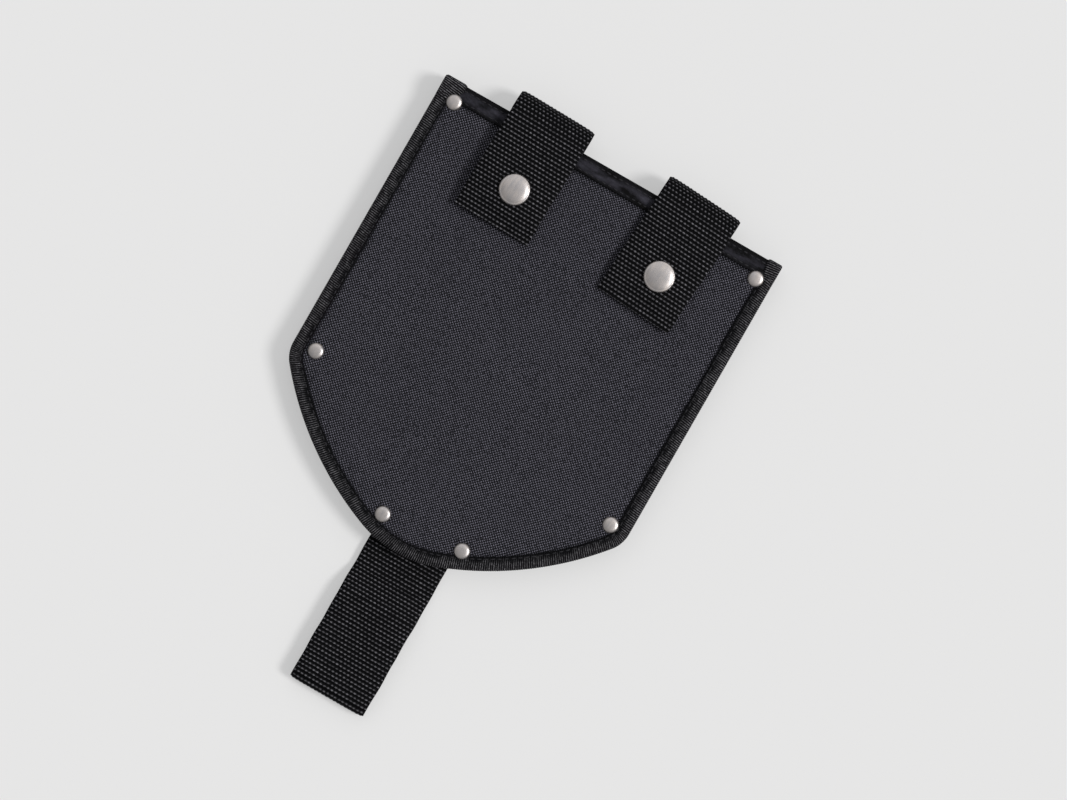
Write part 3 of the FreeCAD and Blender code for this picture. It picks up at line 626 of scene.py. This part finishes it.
class Outline:
    """The sheath's outline: straight sides, round shoulders, two long arcs and a round tip."""

    def __init__(self, sizes):
        chord = math.hypot(HALF, sizes.tip_drop)
        bulge = math.sqrt(sizes.tip_radius ** 2 - chord ** 2 / 4)
        self.radius, self.small, self.tip = sizes.tip_radius, sizes.shoulder_round, sizes.tip_round
        self.arc_x = sizes.tip_drop / chord * bulge - HALF / 2
        self.drop = sizes.side_length + sizes.tip_drop / 2 - HALF / chord * bulge
        self.corner = -self.drop - math.sqrt(
            (self.radius - self.small) ** 2 - (HALF - self.small + self.arc_x) ** 2)
        self.tip_y = -self.drop - math.sqrt((self.radius - self.tip) ** 2 - self.arc_x ** 2)
        self.at_corner = math.atan2(self.corner + self.drop, HALF - self.small + self.arc_x)
        self.at_tip = math.atan2(self.tip_y + self.drop, self.arc_x)
        self.points, self.normals, self.along = self.walk(0.25 * MM)

    def walk(self, step, top=0.0, fine=3000):
        """Points, inward normals and distances along the edge, from the mouth's left end to its right end."""
        def arc(x, y, r, start, end):
            turn = np.linspace(start, end, max(3, int(abs(end - start) * r / (0.05 * MM))))
            unit = np.stack([np.cos(turn), np.sin(turn)], axis=1)
            return np.array([x, y]) + r * unit, -unit

        runs = [
            (np.stack([np.full(fine, -HALF), np.linspace(top, self.corner, fine)], axis=1),
             np.tile([1.0, 0.0], (fine, 1))),
            arc(self.small - HALF, self.corner, self.small, math.pi, math.pi - self.at_corner),
            arc(self.arc_x, -self.drop, self.radius, math.pi - self.at_corner, math.pi - self.at_tip),
            arc(0, self.tip_y, self.tip, math.pi - self.at_tip, 1.5 * math.pi),
        ]
        points, normals = (np.concatenate(part) for part in zip(*runs))
        points, normals = (np.concatenate([v, v[-2::-1] * (-1, 1)]) for v in (points, normals))
        points[:, 1] += MOUTH
        run = run_along(points)
        along = np.linspace(0, run[-1], int(round(run[-1] / step)) + 1)
        points, normals = (np.stack([np.interp(along, run, values) for values in v.T], axis=1)
                           for v in (points, normals))
        return points, normals / np.linalg.norm(normals, axis=1)[:, None], along

    def half_width(self, y, inset):
        """Half of the width at each y, for an outline moved in by inset."""
        y = y - MOUTH
        across, small = HALF - inset, self.small - inset
        corner = np.sqrt(np.clip(small ** 2 - np.clip(y - self.corner, None, 0) ** 2, 0, None))
        low = self.corner + small * math.sin(self.at_corner)
        curve = np.sqrt(np.clip((self.radius - inset) ** 2 - (y + self.drop) ** 2, 0, None)) - self.arc_x
        tip_low = self.tip_y + (self.tip - inset) * math.sin(self.at_tip)
        end = np.sqrt(np.clip((self.tip - inset) ** 2 - (y - self.tip_y) ** 2, 0, None))
        return np.where(y > low, across - small + corner, np.where(y > tip_low, curve, end))

    def inset_of(self, x, y, batch=4000):
        """How far each point lies inside the edge."""
        edge = self.points[::4]
        flat = np.stack([np.ravel(x), np.ravel(y)], axis=1)
        nearest = [np.sqrt(((flat[k:k + batch, None] - edge[None]) ** 2).sum(2).min(1))
                   for k in range(0, len(flat), batch)]
        return np.concatenate(nearest).reshape(np.shape(x))


def centres(node, apart=9.6 * MM):
    """The plan centre of each separate solid in a CAD node of small fasteners."""
    groups = []
    for vertex in frame["nodes"][node].data.vertices:
        spot = np.array(vertex.co[:2])
        group = next((g for g in groups if np.linalg.norm(g[0] - spot) < apart), None)
        if group is None:
            groups.append([spot])
        else:
            group.append(spot)
    return [(np.min(g, axis=0) + np.max(g, axis=0)) / 2 for g in groups]


RIVETS = centres("rivet_caps")
SNAPS = {}
for side in SIDES:
    low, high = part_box(f"snap_cap_{side}")
    SNAPS[side] = ((low.x + high.x) / 2, (low.y + high.y) / 2, high.z)


def hinge(side):
    """A strap's fold: its centre, the way across the strap and the way out of the mouth."""
    joint = next(joint for joint in frame["joints"] if joint["name"] == f"strap_{side}_open")
    side_way = -np.array(joint["axis"])
    return np.array(joint["pos_m"]), side_way, np.array([-side_way[1], side_way[0], 0])


def crown(x, y=MOUTH):
    """How far the front stands up at x, y over its flat margin."""
    rise = CROWN_RISE * (1 - (x / POCKET_HALF) ** 2 + (y - MOUTH) / CROWN_LENGTH)
    return (rise + np.sqrt(rise ** 2 + (0.25 * MM) ** 2)) / 2


def press(x, y, reach):
    """1 under a rivet or a snap, falling to 0 away from it."""
    spots = [*RIVETS, *(SNAPS[side][:2] for side in SIDES)]
    return np.max([np.exp(-((x - sx) ** 2 + (y - sy) ** 2) / reach ** 2) for sx, sy in spots], axis=0)


def front_height(x, y, inset, sizes):
    """The front cloth's upper face: the crown, a soft puff inside the tape, dimples at the metal."""
    inside = smooth((inset - sizes.binding_reach + 1 * MM) / (9 * MM))
    clear_of_hem = smooth((MOUTH - y - HEM_DROP + 1 * MM) / (8 * MM))
    uneven = 0.22 * MM * ripple(x, y, 70 * MM, 1) + 0.08 * MM * ripple(x, y, 24 * MM, 2)
    loose = (sizes.puff + uneven) * inside * clear_of_hem * (1 - press(x, y, PANEL_DENT))
    return FRONT + crown(x, y) + loose


# ---- operators

class SHEATH_OT_panels(bpy.types.Operator):
    """Make the front and back cloth panels"""
    bl_idname = "sheath.panels"
    bl_label = "Panels"
    bl_options = {"REGISTER", "UNDO"}

    def execute(self, context):
        sizes, finishes = workshop(context.scene)
        outline = Outline(sizes)
        rows, columns = 210, 170
        fall = np.linspace(0, 1, rows)
        y = MOUTH - (MOUTH - TIP - PANEL_INSET) * (0.72 * fall + 0.28 * np.sin(fall * math.pi / 2))
        y[-1] = TIP + PANEL_INSET + 0.02 * MM
        width = np.maximum(outline.half_width(y, PANEL_INSET), 0.3 * MM)
        x, y = np.broadcast_arrays(width[:, None] * np.linspace(-1, 1, columns), y[:, None])
        gap = outline.inset_of(x, y)
        # seam: where the cloth is darkened beside the edge tape's inner edge and just below the mouth tape, as
        # painted shade.
        wide = 2.3 * MM + 0.8 * MM * ripple(x, y, 9 * MM, 4)
        seam = 1 - smooth((gap - sizes.binding_reach + 0.4 * MM) / wide)
        seam = np.maximum(seam, 1 - smooth((MOUTH - HEM_DROP - y) / (2.2 * MM)))
        top = front_height(x, y, gap, sizes)
        loose = 0.12 * MM * ripple(x, y, 60 * MM, 3) * smooth((gap - 8 * MM) / (10 * MM))
        low = BACK - np.clip(loose, 0, None) * (1 - press(x, y, BACK_DENT))
        for name, outer, inner, node in (("front_panel", top, top - CLOTH, "front_shell"),
                                         ("back_panel", low, BACK + CLOTH, "back_shell")):
            panel = skin(name, grid(x, y, outer), grid(x, y, inner), seam=seam)
            finished(panel, finishes["cloth"], replaces=[node], slot="cordura")
        return {"FINISHED"}


def ribbed(base, name, unevenness, sizes, finishes, **ties):
    """Raise the ribs on a stretch of edge tape and finish it."""
    tape = grown(base, "ribs", name, rib_pitch=sizes.rib_pitch, depth=sizes.rib_depth, unevenness=unevenness,
                 material=finishes["tape"])
    finished(tape, finishes["tape"], slot="binding_tape", **ties)


class SHEATH_OT_binding(bpy.types.Operator):
    """Fold the ribbed tape over the sheath's edges"""
    bl_idname = "sheath.binding"
    bl_label = "Edge binding"
    bl_options = {"REGISTER", "UNDO"}

    def execute(self, context):
        sizes, finishes = workshop(context.scene)
        points, normals, along = Outline(sizes).walk(sizes.rib_pitch / 4, top=0.6 * MM)
        reach, along = sizes.binding_reach, along[:, None]
        wander = 1 + 0.03 * ripple(along, 0, 38 * MM, 5) + 0.02 * ripple(along, 0, 11 * MM, 6)

        def section(thin):
            """The tape's section as (inset, height) points from the front to the back, on one of its faces."""
            low, high, radius = BACK - TAPE, FRONT + TAPE, TAPE_FOLD - thin
            return np.array([(reach * d, high - thin) for d in (1.0, 0.92, 0.72, 0.5)]
                            + arc_points(TAPE_FOLD, high - TAPE_FOLD, radius, 90, 180, 5)
                            + arc_points(TAPE_FOLD, low + TAPE_FOLD, radius, 180, 270, 5)
                            + [(reach * d, low + thin) for d in (0.5, 0.75, 1.0)])

        def swept(section):
            inset = section[:, 0] * np.where(section[:, 0] > TAPE_FLAT, wander, 1.0)
            x, y = (points[:, k:k + 1] + normals[:, k:k + 1] * inset for k in (0, 1))
            return grid(x, y, section[:, 1]), inset

        outer = section(0.0)
        outside, inset = swept(outer)
        inside, _ = swept(section(TAPE))
        front, flat = outer[:, 1] > (FRONT + BACK) / 2, inset > TAPE_FLAT
        swell = bump(inset, 2.9 * MM, 1.7 * MM) * (0.42 * MM + 0.12 * MM * ripple(along, 0, 9 * MM, 7))
        pressed = press(outside[..., 0], outside[..., 1], TAPE_DENT)
        rise = swell - 0.48 * MM * bump(inset, reach * SEAM_SHARE, 0.8 * MM) - 0.75 * MM * pressed * flat
        outside[..., 2] += np.where(front, rise, -0.35 * rise * flat)
        # The crease darkens the tape along its sewn inner edge, half as much on the back: painted shade.
        wide = 1.45 * MM + 0.5 * MM * ripple(along, 0, 7 * MM, 8)
        painted_crease_shade = smooth(1 - (reach - wide - inset) / (0.9 * MM)) * np.where(front, 1.0, 0.5)
        source = skin("tape_base", outside, inside, along=along, across=run_along(outer), relief=(1, 0), seam=painted_crease_shade)
        ribbed(source, "edge_binding_tape", 0.55, sizes, finishes, replaces=["edge_binding"])
        for side, sign in zip(SIDES, (-1, 1)):
            self.corner(side, sign, TAB_WIDTH[side], sizes, finishes)
        return {"FINISHED"}

    def corner(self, side, sign, tab, sizes, finishes):
        """The tape's end, folded down over the corner of the mouth."""
        low, high, top = BACK - TAPE, FRONT + TAPE, MOUTH + TAB_PROUD

        def loop(out):
            """The folded end's section as (y, height) points from the front to the back, on one of its faces."""
            radius = TAB_FOLD - TAPE + out
            path = [(MOUTH - TAB_DROP, high + out - 1.0 * MM), (MOUTH - 0.55 * TAB_DROP, high + out - 0.1 * MM)]
            path += arc_points(top - TAB_FOLD, high - TAB_FOLD + TAPE, radius, 90, 0, 9)
            path += arc_points(top - TAB_FOLD, low + TAB_FOLD - TAPE, radius, 0, -90, 9)
            path += [(MOUTH - 0.55 * TAB_DROP, low - out + 0.1 * MM), (MOUTH - TAB_DROP, low - out + 1.0 * MM)]
            return resampled(path, count=130)

        outer, along = loop(TAPE)
        inner, _ = loop(0.0)
        t = np.linspace(0, 1, 26)
        narrowed = 1 - 0.22 * smooth((MOUTH - outer[:, :1]) / TAB_DROP)
        x = sign * (HALF - 0.05 * MM - tab * t * narrowed)
        edge = np.clip((t - 0.86) / 0.14, 0, 1) ** 2 + np.clip((0.12 - t) / 0.12, 0, 1) ** 2
        pull = edge * 0.6 * MM * smooth((outer[:, :1] - MOUTH + 3 * MM) / (4 * MM))

        def placed(path, puff):
            z = path[:, 1:]
            z = z + np.sign(z - (low + high) / 2) * puff * (np.sin(math.pi * t) ** 0.5 - 0.6)
            return grid(x, path[:, :1] - pull, z)

        outside, inside = placed(outer, 0.35 * MM), placed(inner, 0.0)
        outside[..., 2] -= 0.9 * MM * press(x, outer[:, :1], TAPE_DENT) * (outside[..., 2] > high)
        # The seam field darkens the fold towards its inner edge: painted shade.
        source = skin("corner_base", outside, inside, along=along[:, None], across=tab * t, relief=(1, 0),
                      seam=smooth((t - 0.8) / 0.2) * 0.6)
        ribbed(source, f"corner_fold_{side}", 1.2, sizes, finishes)


class SHEATH_OT_hems(bpy.types.Operator):
    """Fold the smooth tape over the mouth's two edges"""
    bl_idname = "sheath.hems"
    bl_label = "Mouth hems"
    bl_options = {"REGISTER", "UNDO"}

    def execute(self, context):
        sizes, finishes = workshop(context.scene)
        for name, low, high in (("front", FRONT_BOARD - TAPE, FRONT + TAPE),
                                ("back", BACK - TAPE, POCKET_FLOOR + TAPE)):
            tape = self.hem(f"mouth_tape_{name}", low, high, name == "front", sizes)
            finished(tape, finishes["hem"], replaces=[f"mouth_hem_{name}"], slot="hem_tape")
        return {"FINISHED"}

    def hem(self, name, low, high, front, sizes):
        """A tape folded over the edge of a panel, with its top at one height and its underside at another."""
        half = HEM_HALF + (HEM_TUCK if front else 0.0)
        x = np.linspace(-half, half, int(2 * half / (0.75 * MM)) + 1)[:, None]
        middle, reach = (high + low) / 2, (high - low) / 2
        past = smooth((np.abs(x) - HEM_HALF + 0.6 * MM) / (1.2 * MM))
        rise = crown(x) if front else 0 * x

        def section(thin, bow):
            return np.array([(-HEM_DROP * d, high - thin)
                             for d in (1.0, 0.97, 0.9, 0.84, 0.76, 0.6, 0.45, 0.3, 0.19, 0.1)]
                            + arc_points(0, middle, (bow, reach - thin), 90, -90, 7)
                            + [(-HEM_DROP * d, low + thin) for d in (0.1, 0.4, 0.7, 1.0)]).T

        def placed(section, lift):
            y, z = section[:, None]
            behind, z = z < middle, z + rise
            if front:
                z = np.where(behind, z * (1 - past) + (FRONT - CLOTH + lift) * past, z)
                y = np.where(behind, y * (1 - past) + np.maximum(y, -0.2 * MM) * past, y)
            return y, z

        outer = section(0.0, TAPE)
        y, z = placed(outer, 0.15 * MM)
        up = np.where(outer[1] > middle, 1, -1)
        beat = 0.65 + 0.35 * np.cos(x / sizes.stitch_pitch * math.tau)
        for seam in HEM_SEAMS:
            z = z - up * 0.2 * MM * bump(y, -seam, 0.75 * MM) * beat
        z = z + up * 0.1 * MM * ripple(x, y, 14 * MM, 11)
        edge = (outer[0] <= -HEM_DROP * 0.97) * 0.22 * MM * ripple(x, 0, 17 * MM, 12)
        outside = grid(x, MOUTH + y + edge, z)
        y, z = placed(section(TAPE, 0.1 * MM), 0.25 * MM)
        return skin(name, outside, grid(x, MOUTH + y, z))


def strip_of_webbing(name, path, place, seed, sizes, finishes, start=0.0, edge_wave=0.25 * MM, sag=None, bent=0.0,
                     **ties):
    """Webbing along a path of (distance out, height) points, with the place that maps
    (distance out, across, height) into the frame."""
    line, along = resampled(path, sizes.row_pitch / 4)
    tangent = np.gradient(line, axis=0)
    tangent /= np.linalg.norm(tangent, axis=1)[:, None]
    columns = int(round(sizes.webbing_width / sizes.bead_pitch)) * 4 + 1
    t = np.linspace(-1, 1, columns)
    wave = edge_wave * ripple(along, 0, 21 * MM, seed)
    across = t * (sizes.webbing_width / 2) + wave[:, None] * t ** 2 * 0.6
    body = WEBBING / 2 * np.sqrt(np.clip(1 - np.abs(t) ** 9, 0.06, 1))

    def face(sign):
        out = line[:, :1] - sign * tangent[:, 1:] * body
        height = line[:, 1:] + sign * tangent[:, :1] * body
        return place(out, across, height + (sag(out, across) if sag else 0))

    source = skin("webbing_base", face(1), face(-1), along=(along + start)[:, None],
                  across=(across, across + 0.5 * sizes.bead_pitch), relief=smooth((1 - np.abs(t)) * 30),
                  bent=bent * np.sin(np.linspace(0, math.pi, len(along)))[:, None] ** 0.6)
    webbing = grown(source, "rows", name, row_pitch=sizes.row_pitch, bead_pitch=sizes.bead_pitch,
                    depth=sizes.bead_depth, unevenness=0.16, material=finishes["webbing"])
    finished(webbing, finishes["webbing"], slot="webbing", **ties)


class SHEATH_OT_straps(bpy.types.Operator):
    """Weave the two snap straps, each in its sewn, folded and snapped stretch"""
    bl_idname = "sheath.straps"
    bl_label = "Straps"
    bl_options = {"REGISTER", "UNDO"}

    def execute(self, context):
        sizes, finishes = workshop(context.scene)
        for side in SIDES:
            self.strap(side, *hinge(side), sizes, finishes)
        return {"FINISHED"}

    def strap(self, side, centre, side_way, out_way, sizes, finishes):
        """One strap round its fold. Distances out are measured from the fold's centre."""
        strap = f"strap_{side}"
        lean = math.atan2(-side_way[1], side_way[0])
        bend = (centre[1] - MOUTH) / math.cos(lean)
        radius = centre[2] - WEBBING / 2
        top = 2 * centre[2] - WEBBING / 2

        def place(out, across, height):
            flat = centre * (1, 1, 0) + out[..., None] * out_way + across[..., None] * side_way
            flat[..., 2] = height
            return flat

        def end_of(node):
            reach = sizes.webbing_width / 2 * math.sin(lean)
            return (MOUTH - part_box(node)[0].y - reach) / math.cos(lean) + bend

        levels = ((-WEBBING, 1.5), (-8.5 * MM, 1.5), (-13.5 * MM, 2))
        path = [(out - bend, layers * WEBBING) for out, layers in levels]
        path += arc_points(WEBBING / 2 - end_of(f"{strap}_anchor"), 1.5 * WEBBING, WEBBING / 2, 90, 270)
        path += [(-13.5 * MM - bend, WEBBING), (-8.5 * MM - bend, WEBBING / 2), (-STRAP_MEET, WEBBING / 2)]
        strip_of_webbing(f"{strap}_sewn", path, place, 21, sizes, finishes, replaces=[f"{strap}_anchor"])

        path = [(-STRAP_MEET, WEBBING / 2)] + arc_points(0, centre[2], radius, -90, 90, 60)
        low, high = (Vector((centre[0], centre[1], z)) for z in (WEBBING + 0.1 * MM, top - WEBBING / 2))
        strip_of_webbing(f"{strap}_over", path, place, 22, sizes, finishes, start=-math.pi * radius - STRAP_MEET,
                         edge_wave=0.1 * MM, bent=1.0, blend=("sheath", strap, low, high),
                         replaces=[f"{strap}_fold"])

        away = np.array(SNAPS[side][:2]) - centre[:2]
        snap = (np.dot(away, out_way[:2]), np.dot(away, side_way[:2]))
        flap_end = end_of(f"{strap}_flap")

        def sag(out, across):
            end = smooth((-out - flap_end + 13 * MM) / (13 * MM))
            dip = np.exp(-(((out - snap[0]) ** 2 + (across - snap[1]) ** 2) / (8.5 * MM) ** 2) ** 2)
            uneven = ripple(out, across, 30 * MM, 23) * smooth(-out / (6 * MM))
            return -2.0 * MM * end - 0.2 * MM * dip + 0.15 * MM * uneven

        strip_of_webbing(f"{strap}_snapped", [(0.0, top), (-flap_end, top)], place, 24, sizes, finishes, sag=sag,
                         body=strap, replaces=[f"{strap}_flap"])


class SHEATH_OT_belt_loop(bpy.types.Operator):
    """Double the webbing into the belt loop"""
    bl_idname = "sheath.belt_loop"
    bl_label = "Belt loop"
    bl_options = {"REGISTER", "UNDO"}

    def execute(self, context):
        sizes, finishes = workshop(context.scene)
        low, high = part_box("belt_loop")
        middle, end = (low.x + high.x) / 2, TIP - low.y
        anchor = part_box("belt_loop_anchor")[1].y - TIP
        crest = high.z - WEBBING / 2
        half = (crest - WEBBING / 2) / 2
        path = [(anchor, WEBBING), (26 * MM, WEBBING), (21 * MM, WEBBING / 2)]
        path += arc_points(half + WEBBING / 2 - end, half + WEBBING / 2, half, -90, -270)
        path += [(-34 * MM, crest), (-26 * MM, crest - 0.2 * MM), (-20 * MM, (crest + 1.5 * WEBBING) / 2),
                 (-14 * MM, 1.5 * WEBBING), (21 * MM, 1.5 * WEBBING), (26 * MM, 2 * WEBBING),
                 (anchor, 2 * WEBBING)]

        def place(out, across, height):
            return grid(middle + across, TIP + out, height)

        def sag(out, across):
            free = smooth((-out - 16 * MM) / (10 * MM)) * smooth((out + end - 3 * MM) / (8 * MM))
            return 0.25 * MM * ripple(out, across, 45 * MM, 30) * free

        start, stop = (Vector((middle, TIP - d, WEBBING)) for d in (0.0, 3.7 * MM))
        strip_of_webbing("belt_loop_webbing", path, place, 31, sizes, finishes, sag=sag, edge_wave=0.4 * MM,
                         blend=("sheath", "loop", start, stop), replaces=["belt_loop", "belt_loop_anchor"])
        return {"FINISHED"}


class SHEATH_OT_stitches(bpy.types.Operator):
    """Sew the tape, the hems and the webbing's ends"""
    bl_idname = "sheath.stitches"
    bl_label = "Stitches"
    bl_options = {"REGISTER", "UNDO"}

    def execute(self, context):
        sizes, finishes = workshop(context.scene)
        outline = Outline(sizes)
        points, normals, along = (v[40:-40:8] for v in (outline.points, outline.normals, outline.along))
        inset = sizes.binding_reach * SEAM_SHARE + 0.12 * MM * ripple(along, 0, 25 * MM, 40)
        x, y = (points + normals * inset[:, None]).T
        front = FRONT + TAPE - 0.34 * MM - 0.5 * MM * press(x, y, TAPE_DENT)
        back = BACK - TAPE - 0.02 * MM
        self.sew("binding_stitches", [(x, y, front), (x, y, back)], sizes, finishes, "binding_tape")

        x = np.linspace(-HEM_HALF - 5 * MM, HEM_HALF + 5 * MM, 200)
        inner = np.linspace(-HEM_HALF + 2 * MM, HEM_HALF - 2 * MM, 200)
        lines = []
        for seam in HEM_SEAMS:
            y = MOUTH - seam
            lines += [(x, y, FRONT + TAPE - 0.08 * MM + crown(x)),
                      (inner, y, FRONT_BOARD - TAPE + 0.05 * MM + crown(inner)),
                      (inner, y, back), (inner, y, POCKET_FLOOR + TAPE)]
        self.sew("hem_stitches", lines, sizes, finishes, "hem_tape")

        boxes = []
        for side in SIDES:
            centre, side_way, out_way = (v[:2] for v in hinge(side))
            boxes.append((centre + out_way * ((MOUTH - centre[1]) - STRAP_BOX_DROP), side_way, out_way, STRAP_BOX))
        low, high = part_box("belt_loop")
        boxes.append((np.array([(low.x + high.x) / 2, TIP + LOOP_BOX_RISE]), np.array([1.0, 0]), np.array([0, 1.0]),
                      LOOP_BOX))
        lines = []
        for start, side_way, out_way, tall in boxes:
            a, b = start - side_way * BOX_HALF, start + side_way * BOX_HALF
            c, d = b + out_way * tall, a + out_way * tall
            for ends in ((a, b), (b, c), (c, d), (d, a), (a, c), (b, d)):
                lines.append((*np.linspace(*ends, 24)[1:-1].T, TAPE - STITCH_SINK))
        self.sew("webbing_stitches", lines, sizes, finishes, "webbing", pitch=BOX_STITCH)
        return {"FINISHED"}

    def sew(self, name, lines, sizes, finishes, slot, pitch=None):
        """Thread along each line, given as its x, y and z."""
        vertices, edges = [], []
        for line in lines:
            first = len(vertices)
            vertices += np.column_stack(np.broadcast_arrays(*line)).tolist()
            edges += [(k, k + 1) for k in range(first, len(vertices) - 1)]
        source = bpy.data.objects.new(name, plain_mesh(name, vertices, edges))
        bpy.context.scene.collection.objects.link(source)
        thread = grown(source, "stitches", name, pitch=pitch or sizes.stitch_pitch,
                       thread_radius=sizes.thread_radius, unevenness=1.0, material=finishes["thread"])
        finished(thread, finishes["thread"], slot=slot)


# Half sections of the turned metal, as (radius, height) in millimetres.
CAP_SECTION = [(0, 2.25), (1.5, 2.23), (3.0, 2.16), (4.4, 2.02), (5.4, 1.84), (5.95, 1.66), (6.2, 1.56),
               (6.45, 1.58), (6.75, 1.50), (7.0, 1.22), (7.15, 0.80), (7.2, 0.40), (7.12, 0.08), (6.9, -0.1),
               (5.0, -0.25), (0, -0.25)]
CAP_HEIGHT = 2.3 * MM
RIVET_SECTION = [(0, 1.70), (1.0, 1.69), (1.9, 1.64), (2.6, 1.53), (3.05, 1.36), (3.4, 1.10), (3.66, 0.76),
                 (3.81, 0.38), (3.85, 0.05), (3.7, -0.1), (2.0, -0.15), (0, -0.15)]
RIVET_BACK_SECTION = [(0, 1.25), (1.0, 1.22), (1.9, 1.1), (2.65, 0.88), (3.2, 0.62), (3.6, 0.34), (3.82, 0.12),
                      (3.85, 0.0), (3.7, -0.1), (2.0, -0.15), (0, -0.15)]


class SHEATH_OT_metal(bpy.types.Operator):
    """Set the rivets and the snap caps"""
    bl_idname = "sheath.metal"
    bl_label = "Rivets and snaps"
    bl_options = {"REGISTER", "UNDO"}

    def execute(self, context):
        sizes, finishes = workshop(context.scene)
        for name, section, level, flip, node in (
            ("rivet_heads", RIVET_SECTION, FRONT, False, "rivet_caps"),
            ("rivet_tails", RIVET_BACK_SECTION, BACK, True, "rivet_backs"),
        ):
            turned = lathe(f"{name}_turned", section, sizes.lathe_sides, flip=flip)
            source = bpy.data.objects.new(name, plain_mesh(name, [(x, y, level) for x, y in RIVETS]))
            context.scene.collection.objects.link(source)
            heads = grown(source, "fasteners", name, piece=turned, material=finishes["nickel"])
            bpy.data.objects.remove(turned)
            finished(heads, finishes["nickel"], replaces=[node], slot="nickel")
        for side in SIDES:
            x, y, top = SNAPS[side]
            cap = lathe(f"snap_{side}_cap", CAP_SECTION, sizes.lathe_sides, (x, y, top - CAP_HEIGHT))
            finished(cap, finishes["nickel"], body=f"strap_{side}", replaces=[f"snap_cap_{side}"], slot="nickel")
        return {"FINISHED"}


class SHEATH_OT_frame_finishes(bpy.types.Operator):
    """Give the frame's own pieces that stay visible their finishes"""
    bl_idname = "sheath.frame_finishes"
    bl_label = "Boards, welt and snap parts"
    bl_options = {"REGISTER", "UNDO"}

    def execute(self, context):
        finishes = workshop(context.scene)[1]
        kept = {"back_board": "board", "front_board": "board", "welt": "welt", "snap_studs": "nickel",
                "snap_posts": "nickel", "snap_socket_left": "nickel", "snap_socket_right": "nickel"}
        for node, label in kept.items():
            mesh = frame["nodes"][node].data
            if not mesh.materials:
                mesh.materials.append(None)
            for index in range(len(mesh.materials)):
                mesh.materials[index] = finishes[label]
        return {"FINISHED"}


class SHEATH_OT_stage(bpy.types.Operator):
    """Lay the floor, hang the lamps and set the camera"""
    bl_idname = "sheath.stage"
    bl_label = "Stage"
    bl_options = {"REGISTER", "UNDO"}

    floor_half, floor_level, glow_share = 3.0, -0.4 * MM, 0.5
    lamps = (
        ("key", (0.80, 0.28, 0.95), 2.08, 18, (1, 0.99, 0.98)),
        ("fill", (-0.35, 0.75, 1.1), 0.45, 60, (0.97, 0.98, 1)),
    )
    aim, far, turn, view_width = (19.8 * MM, 22.1 * MM, 8 * MM), 1.8, 29.85, 0.4831

    def execute(self, context):
        scene = context.scene
        self.floor(scene)
        scene.world = bpy.data.worlds.new("studio")
        scene.world.use_nodes = True
        back = scene.world.node_tree.nodes["Background"]
        back.inputs["Color"].default_value = (1, 1, 1, 1)
        back.inputs["Strength"].default_value = 0.4
        for name, place, power, spread, tint in self.lamps:
            lamp = bpy.data.lights.new(name, "SUN")
            lamp.energy, lamp.angle, lamp.color = power, math.radians(spread), tint
            thing = bpy.data.objects.new(name, lamp)
            scene.collection.objects.link(thing)
            thing.location = place
            thing.rotation_euler = (-Vector(place)).to_track_quat("-Z", "Y").to_euler()
        view = bpy.data.cameras.new("camera")
        camera = bpy.data.objects.new("camera", view)
        scene.collection.objects.link(camera)
        camera.location = Vector(self.aim) + Vector((0, 0, self.far))
        camera.rotation_euler = (0, 0, math.radians(self.turn))
        view.sensor_fit, view.sensor_width = "HORIZONTAL", 36.0
        view.lens = view.sensor_width * self.far / self.view_width
        view.clip_start, view.clip_end = 0.01, 20
        scene.camera = camera
        scene.view_settings.view_transform = "Standard"
        return {"FINISHED"}

    def floor(self, scene):
        """A matt floor, part of whose look is a steady glow, so that its shadow stays pale."""
        shade = (*scene.sheath_colours.floor, 1)
        corners = [(x * self.floor_half, y * self.floor_half, self.floor_level)
                   for x, y in ((-1, -1), (1, -1), (1, 1), (-1, 1))]
        floor = shown("floor", plain_mesh("floor", corners, (), [(0, 1, 2, 3)]))
        g = bare_material("floor")
        seen = [g.add("ShaderNodeLightPath", {}, {}, ray) for ray in
                ("Is Camera Ray", "Is Glossy Ray", "Is Transmission Ray")]
        glow = g.add("ShaderNodeEmission", {}, {"Color": shade, "Strength": 1.0})
        floor.data.materials.append(end_material(g, g.add("ShaderNodeMixShader", {}, {
            0: (seen[0] + seen[1] + seen[2]).clamp() * self.glow_share,
            1: shader(g, shade, 0.9, Specular_IOR_Level=0.1), 2: glow})))


OPERATORS = (SHEATH_OT_stage, SHEATH_OT_panels, SHEATH_OT_binding, SHEATH_OT_hems, SHEATH_OT_straps,
             SHEATH_OT_belt_loop, SHEATH_OT_stitches, SHEATH_OT_metal, SHEATH_OT_frame_finishes)


class SHEATH_PT_sheath(bpy.types.Panel):
    """Lists the steps of the build, with their sizes and colours"""
    bl_idname = "SHEATH_PT_sheath"
    bl_label = "Shovel Sheath"
    bl_space_type = "VIEW_3D"
    bl_region_type = "UI"
    bl_category = "Sheath"

    def draw(self, context):
        for operator in OPERATORS:
            self.layout.operator(operator.bl_idname)
        for group in (context.scene.sheath_sizes, context.scene.sheath_colours):
            for name in group.__annotations__:
                self.layout.prop(group, name)


CLASSES = (SheathSizes, SheathColours, *OPERATORS, SHEATH_PT_sheath)


def register():
    for cls in CLASSES:
        bpy.utils.register_class(cls)
    bpy.types.Scene.sheath_sizes = PointerProperty(type=SheathSizes)
    bpy.types.Scene.sheath_colours = PointerProperty(type=SheathColours)


def unregister():
    del bpy.types.Scene.sheath_colours
    del bpy.types.Scene.sheath_sizes
    for cls in reversed(CLASSES):
        bpy.utils.unregister_class(cls)


def main():
    register()
    for operator in OPERATORS:
        group, name = operator.bl_idname.split(".")
        getattr(getattr(bpy.ops, group), name)()


if __name__ == "__main__":
    main()
